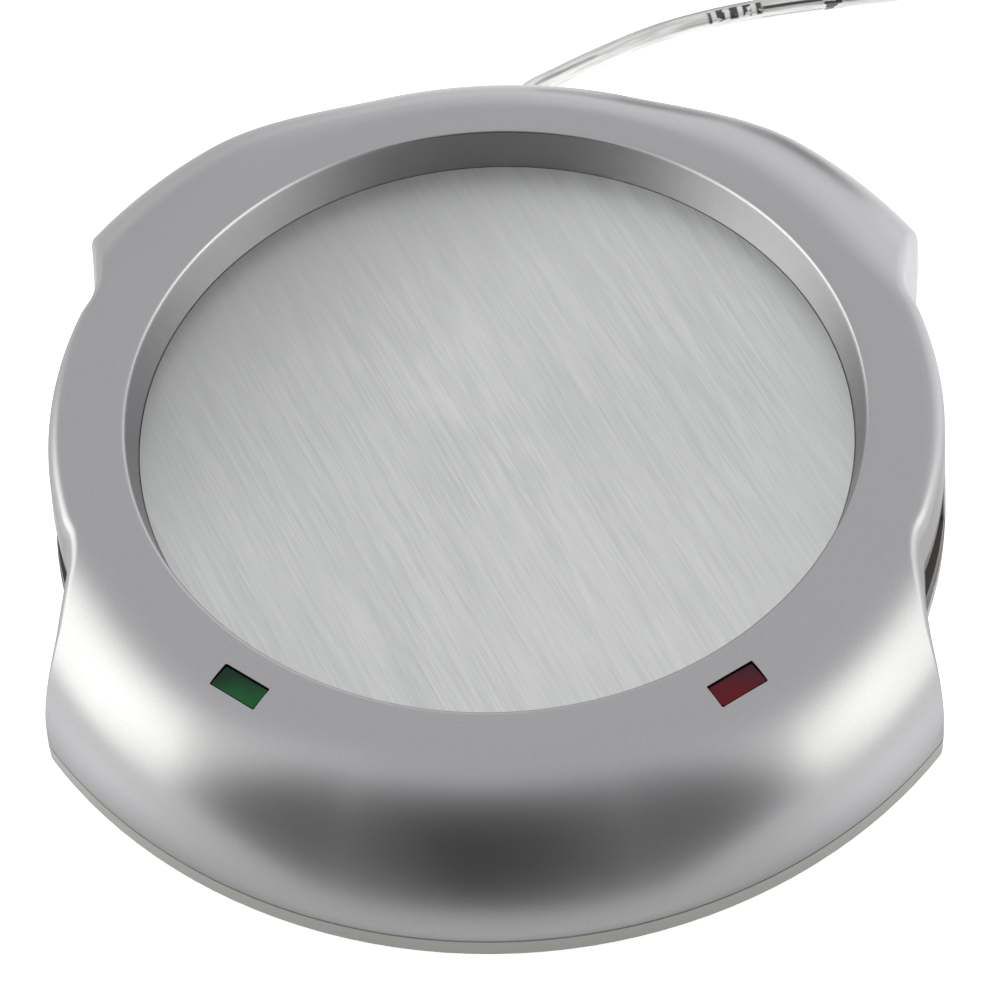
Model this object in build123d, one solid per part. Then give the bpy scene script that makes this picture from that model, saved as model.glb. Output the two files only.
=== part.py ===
from build123d import *
import math
import os

# A desk mug warmer that is also a four-port hub.  A silver ring with a round well for
# the mug carries four swept lobes, and closes on a shallow tray.  Millimetres, +Z up,
# +Y to the rear, origin on the table under the centre of the well.

# ---------------------------------------------------------------- driving dimensions

# Heights, from the table up.
foot_proud = 1.2
base_height = 3.6
cover_height = 19.35
well_depth = 6.05
seam_gap = 0.25

# Plan of the housing at the seam between cover and base.
skirt_radius = 72.5
ring_radius = 61.45
ring_flat_radius = 57.6
end_face_x = 55.8
end_face_angle = 5.2
notch_blend = 0.6
corner_blend = 0.4

# Well for the mug.
well_rim_radius = 50.0
well_foot_radius = 48.7
well_wall = 2.0
rim_round = 0.55

# Flank sections: how the top rolls over, at the middle of the front and at a lobe.
roll_from_radius = 54.5
dip_from = 16.0
dip_to = 38.7
dip_reach = 6.8
lobe_reach = 8.05
dip_handle_in = 1.75
dip_handle_up = 5.85
lobe_handle_in = 0.3
lobe_handle_up = 11.1
ring_side_from = 14.4
ring_side_to = 32.3
ring_side_reach = 6.4
skirt_land = 1.0
side_draft = 0.052
end_draft = 0.137
shoulder_size = 1.9
end_edge_size = 1.5
land_edge_size = 0.6

# Walls and running clearances.
cover_wall = 2.0
base_floor = 2.0
tongue_wall = 1.2
tongue_height = 1.6
tongue_lean = 0.45
fit_gap = 0.15
base_edge_chamfer = 0.6

# Heater stack under the well.
plate_thickness = 1.5
plate_overlap = 2.7
plate_step = 0.25
film_radius = 44.0
film_thickness = 0.4
pad_radius = 46.0
pad_thickness = 1.4
clamp_thickness = 0.8
clamp_arm_width = 9.0
clamp_hole_radius = 3.5
clamp_hole_circle = 30.0
clamp_hole_count = 6
clamp_boss_radius = 2.75
clamp_boss_circle = 54.6
clamp_boss_azimuth = 30.0
clamp_lip = 1.0
cutout_radius = 5.0
cutout_height = 4.6
cutout_flange_radius = 6.5
cutout_flange_thickness = 0.8

# Screws: shank and head radii, head heights, lengths of thread.
small_shank_radius = 1.1
small_head_radius = 2.3
small_head_height = 1.4
small_screw_length = 5.0
board_screw_length = 4.4
case_shank_radius = 1.3
case_head_radius = 2.7
case_head_height = 1.7
case_screw_length = 11.0
case_boss_radius = 3.5
case_boss_x = 46.5
case_boss_y = 41.5
case_joint_rise = 2.4
case_seat_depth = 2.0
base_boss_radius = 5.0
head_gap = 0.3
thread_gap = 0.05
shank_gap = 0.25

# Main board and what stands on it.
board_x = 50.0
board_y = 27.0
board_corner = 3.0
board_thickness = 1.6
board_rise = 2.4
board_screw_x = 34.0
board_screw_y = 23.0
standoff_radius = 3.0
chip_side = 9.0
chip_height = 1.6
chip_lift = 0.15
regulator_length = 9.0
regulator_width = 6.6
regulator_height = 2.3
crystal_length = 11.0
crystal_width = 4.6
crystal_height = 3.4
capacitor_radius = 2.5
capacitor_height = 5.0
capacitor_pitch = 8.0

# Port sockets.
socket_width = 13.1
socket_height = 5.7
socket_depth = 14.0
socket_metal = 0.4
socket_mouth_x = 56.8
socket_y = 13.3
blade_width = 11.0
blade_thickness = 1.8
blade_setback = 1.2
blade_root = 4.0
blade_above = 0.9
blade_gap = 0.05
port_width = 16.0
port_height = 10.9
port_corner = 1.6
bezel_thickness = 1.6
bezel_recess = 0.15
bezel_outer = 58.65
bezel_half_width = 22.9
bezel_height = 12.2
bezel_lift = 0.3
mouth_gap = 0.2

# Indicator windows, lenses and their little boards.
lens_x = 31.95
lens_y = 45.8
lens_width = 7.2
lens_depth = 3.6
lens_recess = 0.5
lens_flange = 0.8
lens_seat_gap = 0.05
lens_flange_thickness = 0.8
led_radius = 1.5
led_flange_radius = 1.9
led_flange_height = 1.0
led_height = 5.4
led_gap = 0.5
led_board_width = 8.0
led_board_length = 13.4
led_board_thickness = 1.2
led_board_inner = 52.9
led_post_radius = 2.5
led_post_circle = 63.2

# Heater switch, seen through a slot at the rear left.
switch_azimuth = 108.0
switch_face = 66.2
switch_width = 11.5
switch_height = 5.0
switch_depth = 5.0
switch_shell = 0.8
slider_tip_width = 3.2
slider_tip_height = 2.4
slider_tip_reach = 4.2
slider_foot_width = 5.0
slider_foot_height = 3.0
slider_foot_depth = 1.5
slider_travel = 2.6
slider_gap = 0.15
switch_board_thickness = 1.2
switch_board_rise = 1.6
switch_board_side = 15.0
switch_board_depth = 9.0
switch_post_radius = 1.8
switch_peg_radius = 0.9
switch_peg_x = 5.5
window_margin = 0.8

# Feet and floor vents.
foot_radius = 6.0
foot_sunk = 0.8
foot_circle = 60.0
foot_azimuth = 55.0
vent_count = 7
vent_pitch = 4.0
vent_width = 1.6
vent_length = 30.0
vent_y = 0.0

# Cord, its gland in the rear wall, and the plug on its far end.
cord_radius = 1.55
cord_exit_x = 0.4
cord_exit_z = 4.9
gland_radius = 2.3
gland_inner = 67.4
gland_mouth = 72.45
gland_flange_width = 8.0
gland_flange_height = 3.2
gland_flange_thickness = 1.2
coil_centre_x = 63.0
coil_centre_y = 118.3
coil_column_radius = 15.5
coil_height = 15.6
coil_lift = 0.05
coil_round = 1.5
plug_body_length = 20.0
plug_body_width = 15.5
plug_body_height = 8.0
plug_neck_length = 8.0
plug_neck_radius = 2.9
plug_shell_length = 12.0
plug_shell_width = 12.0
plug_shell_height = 4.5
plug_shell_metal = 0.3
plug_shell_root = 4.0
lead_radius = 0.6

# Route of the free cord on the table, from the gland to the coil, and from the coil to
# the plug: places picked one by one, where the cord lies.
cord_route = [
    (0.4, 66.0, 4.9),
    (0.4, 71.5, 4.9),
    (2.6, 76.5, 3.9),
    (6.6, 80.3, 2.5),
    (13.6, 85.6, 1.6),
    (23.0, 90.8, 1.6),
    (36.0, 94.9, 1.6),
    (51.5, 97.5, 1.6),
    (66.0, 99.9, 1.6),
]
tail_route = [
    (52.3, 133.5, 1.6),
    (47.8, 130.0, 2.8),
    (42.4, 126.5, 4.05),
    (37.6, 123.6, 4.05),
]

# ---------------------------------------------------------------- derived levels

base_low = foot_proud
seam = base_low + base_height
ring_top = seam + cover_height
plate_top = ring_top - well_depth
plate_low = plate_top - plate_thickness
well_low = plate_top - plate_step
film_low = plate_low - film_thickness
pad_low = film_low - pad_thickness
clamp_low = pad_low - clamp_thickness
floor_top = base_low + base_floor
board_low = floor_top + board_rise
board_top = board_low + board_thickness
port_top = seam + port_height
well_tube_radius = well_rim_radius + well_wall
well_room_radius = well_tube_radius + 1.0
core_radius = well_foot_radius - 3.0
end_face_slope = math.tan(math.radians(end_face_angle))
coil_pitch = 2 * cord_radius
coil_outer_radius = coil_column_radius + coil_pitch
case_joint_z = floor_top + case_joint_rise
case_seat_z = case_joint_z - case_seat_depth
case_thread_top = case_seat_z + case_screw_length
socket_z = board_top + socket_height / 2
socket_back_x = socket_mouth_x - socket_depth
lip_inset = cover_wall + fit_gap
lip_top = seam + tongue_height
lens_low = ring_top - cover_wall - lens_seat_gap - lens_flange_thickness
led_board_top = lens_low - led_gap - led_height
led_board_low = led_board_top - led_board_thickness
led_reach = math.hypot(lens_x, lens_y)
switch_board_low = floor_top + switch_board_rise
switch_board_top = switch_board_low + switch_board_thickness
switch_level = switch_board_top + switch_height / 2
beyond = 20.0


# ---------------------------------------------------------------- small helpers


def disc(radius, low, high):
    """Upright cylinder between two levels."""
    return Pos(0, 0, low) * Cylinder(radius, high - low, align=(Align.CENTER, Align.CENTER, Align.MIN))


def block(x_size, y_size, low, high):
    """Box centred on the Z axis between two levels."""
    return Pos(0, 0, low) * Box(x_size, y_size, high - low, align=(Align.CENTER, Align.CENTER, Align.MIN))


def span(x_low, x_high, y_size, z_size):
    """Box along X, centred in Y and Z."""
    return Pos(x_low, 0, 0) * Box(x_high - x_low, y_size, z_size, align=(Align.MIN, Align.CENTER, Align.CENTER))


def corners(x, y):
    """The four places (+-x, +-y)."""
    return [(sx * x, sy * y) for sx in (1, -1) for sy in (1, -1)]


def polar(radius, azimuth):
    """A place on a circle round the origin."""
    return radius * math.cos(math.radians(azimuth)), radius * math.sin(math.radians(azimuth))


def four_azimuths(azimuth):
    """An azimuth and its mirror images in X and Y."""
    return [azimuth, 180 - azimuth, 180 + azimuth, 360 - azimuth]


def blend(low, high, share):
    """Straight mix of two numbers."""
    return low + (high - low) * share


def ease(share):
    """Smooth step from 0 to 1."""
    share = min(max(share, 0.0), 1.0)
    return share * share * (3 - 2 * share)


def larger(a, b, softness):
    """The larger of two numbers, rounded where they cross."""
    return (a + b + math.hypot(a - b, softness)) / 2


def smaller(a, b, softness):
    """The smaller of two numbers, rounded where they cross."""
    return (a + b - math.hypot(a - b, softness)) / 2


def merge(shapes):
    """One shape holding several separate solids."""
    return Compound(children=[solid for shape in shapes for solid in shape.solids()])


# ---------------------------------------------------------------- form of the housing


def seam_radius(angle):
    """Radius of the housing's plan at an angle from the X axis, in the first quarter:
    the ring's side, then a nearly flat end face, then the round skirt."""
    turn = math.radians(angle)
    closing = math.cos(turn) - end_face_slope * math.sin(turn)
    end_face = end_face_x / closing if closing > 0.2 else 5 * skirt_radius
    return smaller(skirt_radius, larger(ring_radius, end_face, notch_blend), corner_blend)


def on_curve(handles, share):
    """A point of a cubic curve in the plane of radius and height."""
    back = 1 - share
    weights = (back**3, 3 * back * back * share, 3 * back * share * share, share**3)
    return tuple(sum(w * point[axis] for w, point in zip(weights, handles)) for axis in (0, 1))


def first_part(handles, share):
    """The handles of a cubic curve's first part."""

    def between(a, b):
        return tuple(blend(a[axis], b[axis], share) for axis in (0, 1))

    first, second, third = (between(a, b) for a, b in zip(handles, handles[1:]))
    fourth, fifth = between(first, second), between(second, third)
    return [handles[0], first, fourth, between(fourth, fifth)]


def last_share(test):
    """The largest share of a curve, from its start, for which a test holds."""
    low, high = 0.0, 1.0
    for _ in range(50):
        middle = (low + high) / 2
        if test(middle):
            low = middle
        else:
            high = middle
    return low


def flank_section(angle, inset):
    """The section of the housing above the seam at an angle from the X axis: a curve
    that rolls off the flat ring, a rounded edge, and the wall down to the seam."""
    top = ring_top - inset
    lobe = ease((90 - angle - dip_from) / (dip_to - dip_from))
    foot = (skirt_radius - inset, seam + skirt_land)
    handle_in = blend(dip_handle_in, lobe_handle_in, lobe)
    handle_up = blend(dip_handle_up, lobe_handle_up, lobe) - inset / 2
    off_side = ease((angle - ring_side_from) / (ring_side_to - ring_side_from))
    flat = blend(ring_flat_radius, roll_from_radius, off_side)
    reach = blend(dip_reach, blend(ring_side_reach, lobe_reach, off_side), lobe) - inset / 4
    roll = [
        (flat, top),
        (flat + reach, top),
        (foot[0] - handle_in, foot[1] + handle_up),
        foot,
    ]
    beside_ring = 1 - ease((angle - 17) / 8)
    at_skirt = ease((angle - 30) / 8)
    draft = blend(blend(end_draft, side_draft, beside_ring), 0.0, at_skirt)
    edge = blend(blend(end_edge_size, shoulder_size, beside_ring), land_edge_size, at_skirt)
    foot_radius_here = seam_radius(angle) - inset

    def wall_at(z):
        return foot_radius_here - draft * (z - seam)

    def inside(share):
        radius, height = on_curve(roll, share)
        return radius < wall_at(height)

    meeting = on_curve(roll, last_share(inside))
    leaving = last_share(lambda share: inside(share) and math.dist(on_curve(roll, share), meeting) > edge)
    top_curve = first_part(roll, max(leaving, 0.01))
    drop = min(1.15 * edge, 0.6 * (meeting[1] - seam))
    landing = (wall_at(meeting[1] - drop), meeting[1] - drop)
    start, before = top_curve[3], top_curve[2]
    slope = math.dist(start, before)
    pull = 0.62 * math.dist(start, meeting) / slope
    edge_curve = [
        start,
        (start[0] + (start[0] - before[0]) * pull, start[1] + (start[1] - before[1]) * pull),
        (blend(landing[0], meeting[0], 0.62), blend(landing[1], meeting[1], 0.62)),
        landing,
    ]
    return top_curve, edge_curve, wall_at


def section_wire(azimuth, inset, core, floor):
    """A closed section of the housing in the upright plane at an azimuth."""
    quarter = azimuth if azimuth <= 90 else 180 - azimuth
    top_curve, edge_curve, wall_at = flank_section(quarter, inset)

    def place(point):
        x, y = polar(point[0], azimuth)
        return Vector(x, y, point[1])

    foot = (wall_at(floor), floor)
    inner_top = (core, ring_top - inset)
    return Wire(
        [
            Edge.make_line(place((core, floor)), place(inner_top)),
            Edge.make_line(place(inner_top), place(top_curve[0])),
            Edge.make_bezier(*[place(point) for point in top_curve]),
            Edge.make_bezier(*[place(point) for point in edge_curve]),
            Edge.make_line(place(edge_curve[3]), place(foot)),
            Edge.make_line(place(foot), place((core, floor))),
        ]
    )


def section_azimuths():
    """Azimuths of the sections of one half: close together where the plan turns."""
    quarter = [*range(0, 16, 2), *range(16, 40), *range(42, 91, 4)]
    return quarter + [180 - angle for angle in reversed(quarter[:-1])]


def housing_form(inset, core, floor):
    """The housing above a level, as a ring round the well, inset all over."""
    rear = Solid.make_loft([section_wire(azimuth, inset, core, floor) for azimuth in section_azimuths()])
    return rear + mirror(rear, about=Plane.XZ)


def plan_face(inset, level):
    """The housing's plan at a level, as a face."""
    half = section_azimuths()[:-1]
    azimuths = half + [180 + azimuth for azimuth in half]
    points = []
    for azimuth in azimuths:
        folded = azimuth % 180
        quarter = folded if folded <= 90 else 180 - folded
        x, y = polar(seam_radius(quarter) - inset, azimuth)
        points.append((x, y, level))
    return Face(Wire([Edge.make_spline([Vector(*p) for p in points], periodic=True)]))


def plan_solid(levels):
    """A solid through the housing's plan at several (inset, level) pairs."""
    return Solid.make_loft([plan_face(inset, level).outer_wire() for inset, level in levels], ruled=True)


# ---------------------------------------------------------------- top cover


def well_cutter():
    """What the well takes out of the cover, with the rim's rounding."""
    slope = (well_rim_radius - well_foot_radius) / well_depth
    rim_low = ring_top - rim_round
    with BuildPart() as cutter:
        with BuildSketch(Plane.XZ):
            with BuildLine():
                inner = (well_rim_radius - slope * rim_round, rim_low)
                outer = (well_rim_radius + rim_round, ring_top)
                Line((0, well_low), (well_foot_radius, well_low))
                Line((well_foot_radius, well_low), inner)
                Bezier(inner, (well_rim_radius, ring_top), outer)
                Line(outer, (outer[0], ring_top + 2))
                Line((outer[0], ring_top + 2), (0, ring_top + 2))
                Line((0, ring_top + 2), (0, well_low))
            make_face()
        revolve(axis=Axis.Z)
    return cutter.part


def lens_places():
    """The lenses' places on the ring, and how each is turned."""
    return [Pos(side * lens_x, -lens_y, 0) * Rot(0, 0, side * lens_turn()) for side in (-1, 1)]


def lens_turn():
    """Turn that puts a lens's long side along the ring."""
    return math.degrees(math.atan2(lens_x, lens_y))


def port_outline(width, height, corner):
    """A port's opening, upright in the YZ plane with its foot at z = 0."""
    with BuildSketch(Plane.YZ) as outline:
        with Locations((0, height / 2)):
            Rectangle(width, height)
        top = outline.vertices().group_by(Axis.Z)[-1]
        fillet(top, corner)
    return outline.sketch


def port_cutters(width, height, corner, low):
    """Prisms along X that open all four ports."""
    prism = extrude(port_outline(width, height, corner), amount=2 * beyond)
    cutters = []
    for side in (1, -1):
        for row in (1, -1):
            start = side * (ring_radius - beyond / 2)
            turn = Rot(0, 0, 0 if side > 0 else 180)
            cutters.append(Pos(start, row * socket_y, low) * turn * prism)
    return cutters


def at_switch(shape):
    """Carry a shape from the switch's own frame, radius along +Y, to its place."""
    return Rot(0, 0, switch_azimuth - 90) * shape


def switch_window():
    """The slot in the cover that the slider's tip moves in."""
    width = slider_tip_width + slider_travel + 2 * window_margin
    height = slider_tip_height + 2 * window_margin
    slot = Box(width, beyond, height, align=(Align.CENTER, Align.MIN, Align.CENTER))
    return at_switch(Pos(0, switch_face, switch_level) * slot)


def case_places():
    """The four case screws' axes."""
    return [Pos(x, y) for x, y in corners(case_boss_x, case_boss_y)]


def clamp_places():
    """The four clamp screws' axes."""
    return [Pos(*polar(clamp_boss_circle, azimuth)) for azimuth in four_azimuths(clamp_boss_azimuth)]


def led_post_places():
    """The axes of the two screws that hold the indicator boards."""
    return [place * Pos(0, led_reach - led_post_circle, 0) for place in lens_places()]


def top_cover():
    """The silver cover: ring, well wall, lobes, windows and the bosses inside."""
    outside = housing_form(0, core_radius, seam)
    cover = outside - housing_form(cover_wall, well_tube_radius, seam - 1) - well_cutter()
    cover -= disc(well_room_radius, seam - 1, well_low)
    posts = [place * disc(case_boss_radius, case_joint_z, ring_top) for place in case_places()]
    posts += [place * disc(clamp_boss_radius, pad_low, ring_top) for place in clamp_places()]
    posts += [place * disc(led_post_radius, led_board_top, ring_top) for place in led_post_places()]
    for post in posts:
        cover += post & outside
    case_pilot = disc(case_shank_radius + thread_gap, case_joint_z, case_thread_top + 1)
    small_pilot = disc(small_shank_radius + thread_gap, 0, small_screw_length)
    for place in case_places():
        cover -= place * case_pilot
    for place in clamp_places():
        cover -= place * Pos(0, 0, pad_low) * small_pilot
    for place in led_post_places():
        cover -= place * Pos(0, 0, led_board_top) * small_pilot
    seat_width = lens_width + 2 * (lens_flange + fit_gap)
    seat_depth = lens_depth + 2 * (lens_flange + fit_gap)
    for place in lens_places():
        cover -= place * block(lens_width, lens_depth, lens_low, ring_top + 1)
        cover -= place * block(seat_width, seat_depth, lens_low - lens_flange_thickness, ring_top - cover_wall)
    for cutter in port_cutters(port_width, port_height, port_corner, seam):
        cover -= cutter
    cover -= switch_window()
    cover -= gland_bore(gland_radius + fit_gap)
    return cover


# ---------------------------------------------------------------- base


def bottom_cover():
    """The tray under the cover: floor, low wall, inner lip, bosses and vents."""
    wall_inset = lip_inset + tongue_wall
    tray = plan_solid([(base_edge_chamfer, base_low), (0, base_low + base_edge_chamfer), (0, seam - seam_gap)])
    lip = plan_solid([(lip_inset, floor_top), (lip_inset, seam), (lip_inset + tongue_lean, lip_top)])
    lip -= block(4 * skirt_radius, 2 * bezel_half_width + 2, floor_top - 1, lip_top + 1)
    tray += lip
    tray -= plan_solid([(wall_inset, floor_top), (wall_inset, seam), (wall_inset + tongue_lean, lip_top + 1)])
    for place in case_places():
        tray += place * disc(base_boss_radius, floor_top, case_joint_z)
    for place in board_places():
        tray += place * disc(standoff_radius, floor_top, board_low)
    for place in switch_peg_places():
        tray += place * disc(switch_post_radius, floor_top, switch_board_low)
        tray += place * disc(switch_peg_radius, floor_top, switch_board_top + 0.4)
    for place in case_places():
        tray -= place * disc(case_head_radius + head_gap, 0, case_seat_z)
        tray -= place * disc(case_shank_radius + shank_gap, 0, case_joint_z + 1)
    for place in board_places():
        tray -= place * disc(small_shank_radius + thread_gap, board_top - board_screw_length, board_low)
    for azimuth in four_azimuths(foot_azimuth):
        tray -= Pos(*polar(foot_circle, azimuth)) * disc(foot_radius + fit_gap, 0, base_low + foot_sunk)
    for index in range(vent_count):
        x = (index - (vent_count - 1) / 2) * vent_pitch
        tray -= Pos(x, 0) * vent_slot()
    tray -= gland_bore(gland_radius + fit_gap)
    return tray


def vent_slot():
    """One vent in the floor, with round ends."""
    with BuildPart() as slot:
        with BuildSketch():
            SlotOverall(vent_length, vent_width, rotation=90)
        extrude(amount=floor_top + 1)
    return slot.part


def rubber_feet():
    """Four round feet let into the floor."""
    feet = []
    for azimuth in four_azimuths(foot_azimuth):
        foot = disc(foot_radius, 0, base_low + foot_sunk)
        foot = chamfer(foot.edges().group_by(Axis.Z)[0], 0.4)
        feet.append(Pos(*polar(foot_circle, azimuth)) * foot)
    return merge(feet)


# ---------------------------------------------------------------- heater stack


def heating_plate():
    """The metal plate the mug stands on: its rim is held up against the well's foot."""
    rim = disc(well_foot_radius + plate_overlap, plate_low, well_low)
    return rim + disc(well_foot_radius - fit_gap, plate_low, plate_top)


def heater_film():
    """The heater under the plate, with a tab for its leads."""
    return disc(film_radius, film_low, plate_low)


def insulation_pad():
    """The soft pad between heater and clamp, cut out for the leads and the cutout."""
    pad = disc(pad_radius, pad_low, film_low)
    pad -= disc(cutout_flange_radius + fit_gap, pad_low, film_low)
    pad -= Pos(-clamp_hole_circle, 0) * disc(clamp_hole_radius, pad_low, film_low)
    return pad


def heater_clamp():
    """The pressed plate that holds the stack, with four arms to the cover's bosses."""
    plate = disc(pad_radius - clamp_lip, clamp_low, pad_low)
    for azimuth in four_azimuths(clamp_boss_azimuth):
        arm = Rot(0, 0, azimuth) * Pos(clamp_boss_circle / 2, 0) * block(
            clamp_boss_circle, clamp_arm_width, clamp_low, pad_low
        )
        plate += arm
        plate += Pos(*polar(clamp_boss_circle, azimuth)) * disc(clamp_arm_width / 2, clamp_low, pad_low)
    for index in range(clamp_hole_count):
        place = Pos(*polar(clamp_hole_circle, index * 360 / clamp_hole_count))
        plate -= place * disc(clamp_hole_radius, clamp_low, pad_low)
    for place in clamp_places():
        plate -= place * disc(small_shank_radius + shank_gap, clamp_low, pad_low)
    plate -= disc(cutout_radius + fit_gap, clamp_low, pad_low)
    return plate


def thermal_cutout():
    """The round thermal switch pressed against the heater from below."""
    body = disc(cutout_radius, film_low - cutout_height, film_low)
    body += disc(cutout_flange_radius, pad_low, pad_low + cutout_flange_thickness)
    return body


# ---------------------------------------------------------------- screws


def screw(shank, head, head_height, length):
    """A pan-head screw pointing up: head below z = 0, shank above, cross recess."""
    body = disc(shank, -head_height / 2, length)
    body = chamfer(body.edges().group_by(Axis.Z)[-1], shank / 3)
    cap = disc(head, -head_height, 0)
    cap = fillet(cap.edges().group_by(Axis.Z)[0], head_height / 3)
    slot = block(head, head / 5, -head_height, -head_height / 2)
    return body + cap - slot - Rot(0, 0, 90) * slot


def screws(places, level, length, flip=False):
    """Small screws at several places with their heads' seats at one level."""
    one = screw(small_shank_radius, small_head_radius, small_head_height, length)
    turn = Rot(180, 0, 0) if flip else Rot(0, 0, 0)
    return merge([place * Pos(0, 0, level) * turn * one for place in places])


def case_screws():
    """The four long screws through the base into the cover."""
    one = screw(case_shank_radius, case_head_radius, case_head_height, case_screw_length)
    return merge([place * Pos(0, 0, case_seat_z) * one for place in case_places()])


# ---------------------------------------------------------------- main board


def board_places():
    """The four main board screws' axes."""
    return [Pos(x, y) for x, y in corners(board_screw_x, board_screw_y)]


def main_board():
    """The board with the hub and the heater's supply."""
    board = block(2 * board_x, 2 * board_y, board_low, board_top)
    board = fillet(board.edges().filter_by(Axis.Z), board_corner)
    for place in board_places():
        board -= place * disc(small_shank_radius + shank_gap, board_low, board_top)
    return board


def hub_chip():
    """The hub's square chip."""
    low = board_top + chip_lift
    chip = block(chip_side, chip_side, low, low + chip_height)
    return chamfer(chip.edges().filter_by(Axis.Z), 0.4)


def crystal_can():
    """The clock crystal's can beside the chip."""
    can = block(crystal_length, crystal_width, board_top, board_top + crystal_height)
    can = fillet(can.edges().filter_by(Axis.Z), crystal_width / 2 - 0.05)
    return Pos(0, 2.2 * chip_side / 2 + 1) * can


def regulator():
    """The heater's power switch, flat on the board."""
    body = block(regulator_length, regulator_width, board_top, board_top + regulator_height)
    return Pos(-20, -10) * chamfer(body.edges().group_by(Axis.Z)[-1], 0.3)


def capacitors():
    """Three upright capacitors in a row."""
    can = disc(capacitor_radius, board_top, board_top + capacitor_height)
    can = fillet(can.edges().group_by(Axis.Z)[-1], 0.4)
    return merge([Pos(20, (index - 1) * capacitor_pitch - 4) * can for index in range(3)])


# ---------------------------------------------------------------- ports


def at_port(shape, side, row):
    """Carry a shape from the X axis to a port: side +-1 in X, row +-1 in Y."""
    turn = 0 if side > 0 else 180
    return Rot(0, 0, turn) * Pos(0, side * row * socket_y, 0) * shape


def usb_socket(side, row):
    """The metal shell of one port, open towards the outside."""
    inner_y = socket_width - 2 * socket_metal
    inner_z = socket_height - 2 * socket_metal
    shell = span(socket_back_x, socket_mouth_x, socket_width, socket_height)
    shell -= span(socket_back_x + socket_metal, socket_mouth_x + 1, inner_y, inner_z)
    return at_port(Pos(0, 0, socket_z) * shell, side, row)


def usb_blade(side, row):
    """The insulator inside one port: a block at the back and the contact blade."""
    inner_y = socket_width - 2 * socket_metal - 2 * blade_gap
    inner_z = socket_height - 2 * socket_metal - 2 * blade_gap
    back = socket_back_x + socket_metal + blade_gap
    body = span(back, back + blade_root, inner_y, inner_z)
    blade = span(back, socket_mouth_x - blade_setback, blade_width, blade_thickness)
    body += Pos(0, 0, blade_above) * blade
    return at_port(Pos(0, 0, socket_z) * body, side, row)


def port_bezel(side):
    """The dark insert behind two windows, filling them round the port mouths."""
    low = seam + bezel_lift
    high = low + bezel_height
    inner = bezel_outer - bezel_thickness
    backing = disc(bezel_outer, low, high) & Pos(bezel_outer / 2, 0) * block(
        bezel_outer, 2 * bezel_half_width, low, high
    )
    cone_height = port_height + 1
    foot = ring_radius - bezel_recess
    cone = Pos(0, 0, seam) * Cone(
        foot, foot - side_draft * cone_height, cone_height, align=(Align.CENTER, Align.CENTER, Align.MIN)
    )
    outline = port_outline(port_width - 2 * fit_gap, port_height - bezel_lift - fit_gap, port_corner)
    pad = Pos(ring_radius - beyond, 0, low) * extrude(outline, amount=2 * beyond)
    for row in (1, -1):
        backing += (Pos(0, row * socket_y, 0) * pad) & cone
    backing -= disc(inner, low, high)
    mouth = span(inner - beyond / 2, ring_radius + 1, socket_width + 2 * mouth_gap, socket_height + 2 * mouth_gap)
    for row in (1, -1):
        backing -= Pos(0, row * socket_y, socket_z) * mouth
    return Rot(0, 0, 0 if side > 0 else 180) * backing


# ---------------------------------------------------------------- indicators


def indicator_lens(index):
    """A clear block in its window, with a flange below the cover."""
    top = ring_top - lens_recess
    flange_top = lens_low + lens_flange_thickness
    body = block(lens_width - 2 * fit_gap, lens_depth - 2 * fit_gap, lens_low, top)
    body += block(lens_width + 2 * lens_flange, lens_depth + 2 * lens_flange, lens_low, flange_top)
    return lens_places()[index] * body


def indicator_led(index):
    """A round lamp with a domed top, below its lens."""
    body = disc(led_radius, led_board_top, led_board_top + led_height)
    body = fillet(body.edges().group_by(Axis.Z)[-1], led_radius - 0.05)
    body += disc(led_flange_radius, led_board_top, led_board_top + led_flange_height)
    return lens_places()[index] * body


def led_board(index):
    """The small board under one lamp, hung from a post in the lobe."""
    reach = led_board_inner + led_board_length / 2
    board = Pos(0, led_reach - reach) * block(led_board_width, led_board_length, led_board_low, led_board_top)
    board -= Pos(0, led_reach - led_post_circle) * disc(
        small_shank_radius + shank_gap, led_board_low, led_board_top
    )
    return lens_places()[index] * board


# ---------------------------------------------------------------- heater switch


def switch_peg_places():
    """The two pegs that the switch's board sits on."""
    radius = switch_face - switch_board_depth + 2
    return [at_switch(Pos(side * switch_peg_x, radius)) for side in (1, -1)]


def switch_board():
    """The small board under the heater switch."""
    board = Pos(0, switch_face - switch_board_depth / 2) * block(
        switch_board_side, switch_board_depth, switch_board_low, switch_board_top
    )
    board = at_switch(board)
    for place in switch_peg_places():
        board -= place * disc(switch_peg_radius + fit_gap, switch_board_low, switch_board_top)
    return board


def switch_cavity_width():
    """Room for the slider's foot and its travel."""
    return slider_foot_width + slider_travel + 2 * slider_gap


def heater_switch():
    """The slide switch's case, open at its slot."""
    case = Box(switch_width, switch_depth, switch_height, align=(Align.CENTER, Align.MAX, Align.CENTER))
    room_depth = switch_depth - 2 * switch_shell
    room = Box(
        switch_cavity_width(), room_depth, switch_height - 2 * switch_shell,
        align=(Align.CENTER, Align.MAX, Align.CENTER),
    )
    slot_width = slider_tip_width + slider_travel + 2 * slider_gap
    slot = Box(slot_width, 2, slider_tip_height + 2 * slider_gap)
    case -= Pos(0, -switch_shell, 0) * room
    case -= slot
    return at_switch(Pos(0, switch_face, switch_level) * case)


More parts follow.
